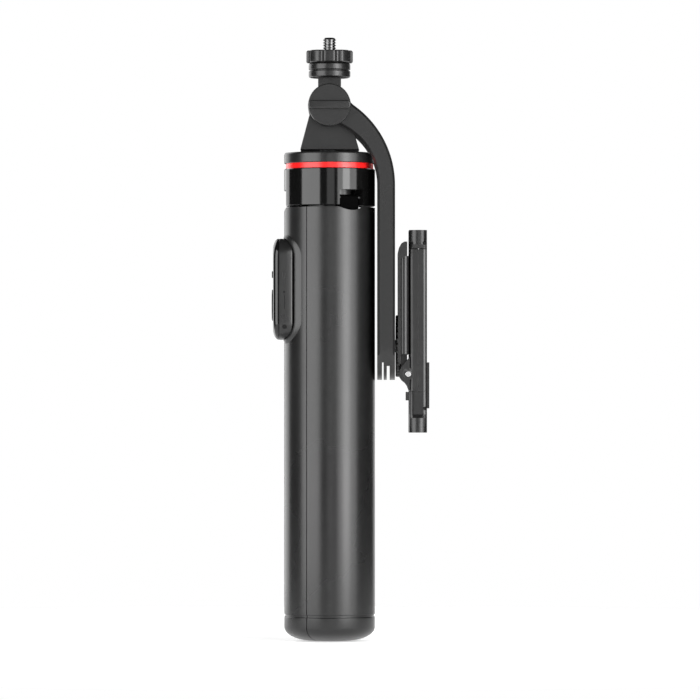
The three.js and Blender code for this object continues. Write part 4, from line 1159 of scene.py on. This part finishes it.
button(SHUTTER, SHUTTER_R - BUTTON_GAP, "shutter_button", "shutter_button_cap", SHUTTER_DISH)
button(MODE, MODE_R, "mode_button", "mode_button_cap", 0.0)
# the strap hole is not cut: a flat patch of fine black is painted shade for the hole's depth
strap_hole_painted_shade = side_mark(rounded(20.4, 22.4, R_LOW + 5.0, R_LOW + 6.8, 0.5))
lamp = side_mark(arc((21.6, R_LOW + 22.6), 0.55, 0, 350, 20))
scale_line = side_mark(rounded(21.35, 21.6, R_LOW + 14.5, R_LOW + 21.2, 0.1))
finish_piece(to_the_left(join(strap_hole_painted_shade, lamp, scale_line)), "remote_side_marks", "remote",
             "shell_black", fine_black)

# %% [markdown]
# ## Dock
# The dock is a raised rim round the remote, drafted down to the leg all round. Its loops follow
# the remote's outline, grown a little more at each step, and lie on the round leg. The innermost
# loop drops to a floor behind the remote.


# %% The dock
def on_leg(radius):
    """Place along X of a point at a distance from the mast axis."""
    return lambda point: math.sqrt(radius ** 2 - point[0] ** 2)


def grown(amount):
    """The remote's outline, grown outwards."""
    return rounded(-R_HALF - amount, R_HALF + amount, R_LOW - amount, R_HIGH + amount,
                   R_CORNER + amount, 14)


DOCK_PROUD = 1.0
DOCK_FLOOR = 13.4                 # distance of the floor from the mast's axis
dock = lofted([(on_leg(HANDLE - 0.4), grown(2.5)), (on_leg(HANDLE + 0.1), grown(2.1)),
               (on_leg(HANDLE + DOCK_PROUD * 0.7), grown(1.3)),
               (on_leg(HANDLE + DOCK_PROUD), grown(0.7)), (on_leg(HANDLE + DOCK_PROUD), grown(0.4)),
               (on_leg(HANDLE + DOCK_PROUD - 0.25), grown(0.16)), (DOCK_FLOOR, grown(0.14))],
              closed=False)
floor_edge = [e for e in dock.edges if e.is_boundary
              and all(abs(v.co.x - DOCK_FLOOR) < 0.01 for v in e.verts)]
bmesh.ops.holes_fill(dock, edges=floor_edge, sides=len(floor_edge))
finish_piece(to_the_left(dock), "remote_dock", "leg_left", "shell_black", satin_black, crisp=40)

# %% [markdown]
# ## Small and inner parts
# Pins, rods, washers, glides, pads, the end plug and the inside of the remote are short plain
# shapes, and little of them shows. They could all be turned again, but a merged copy of each
# node with softened edges looks the same. The hinge and finger pins are blackened, so that only
# the tilt pin and the nut shine. The jaw spring is drawn out with its jaw, so it keeps the mesh
# that stretches, and only its material slot gets a new finish.

# %% Small parts
FINISH_OF_SLOT = {
    "shell_black": satin_black, "mast_aluminium": black_anodised, "pin_steel": bright_steel,
    "rubber_black": soft_rubber, "board_green": solder_mask,
}
BLACKENED = {"leg_hinge_pin_left", "leg_hinge_pin_front", "leg_hinge_pin_rear"}
STRETCHES = "jaw_spring"
SMALL_EDGE = 0.2
frame["nodes"][STRETCHES].material_slots[0].material = bright_steel
dressed = {node for piece in bpy.data.objects for node in piece.get("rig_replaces", [])}
small = [node for node in SLOT_OF if node not in dressed and node != STRETCHES]
for node in small:
    finish = blackened_steel if node in BLACKENED else FINISH_OF_SLOT[SLOT_OF[node]]
    stand_for(from_frame(node), f"{node}_piece", node, finish, edge=SMALL_EDGE)
print("small parts:", len(small))
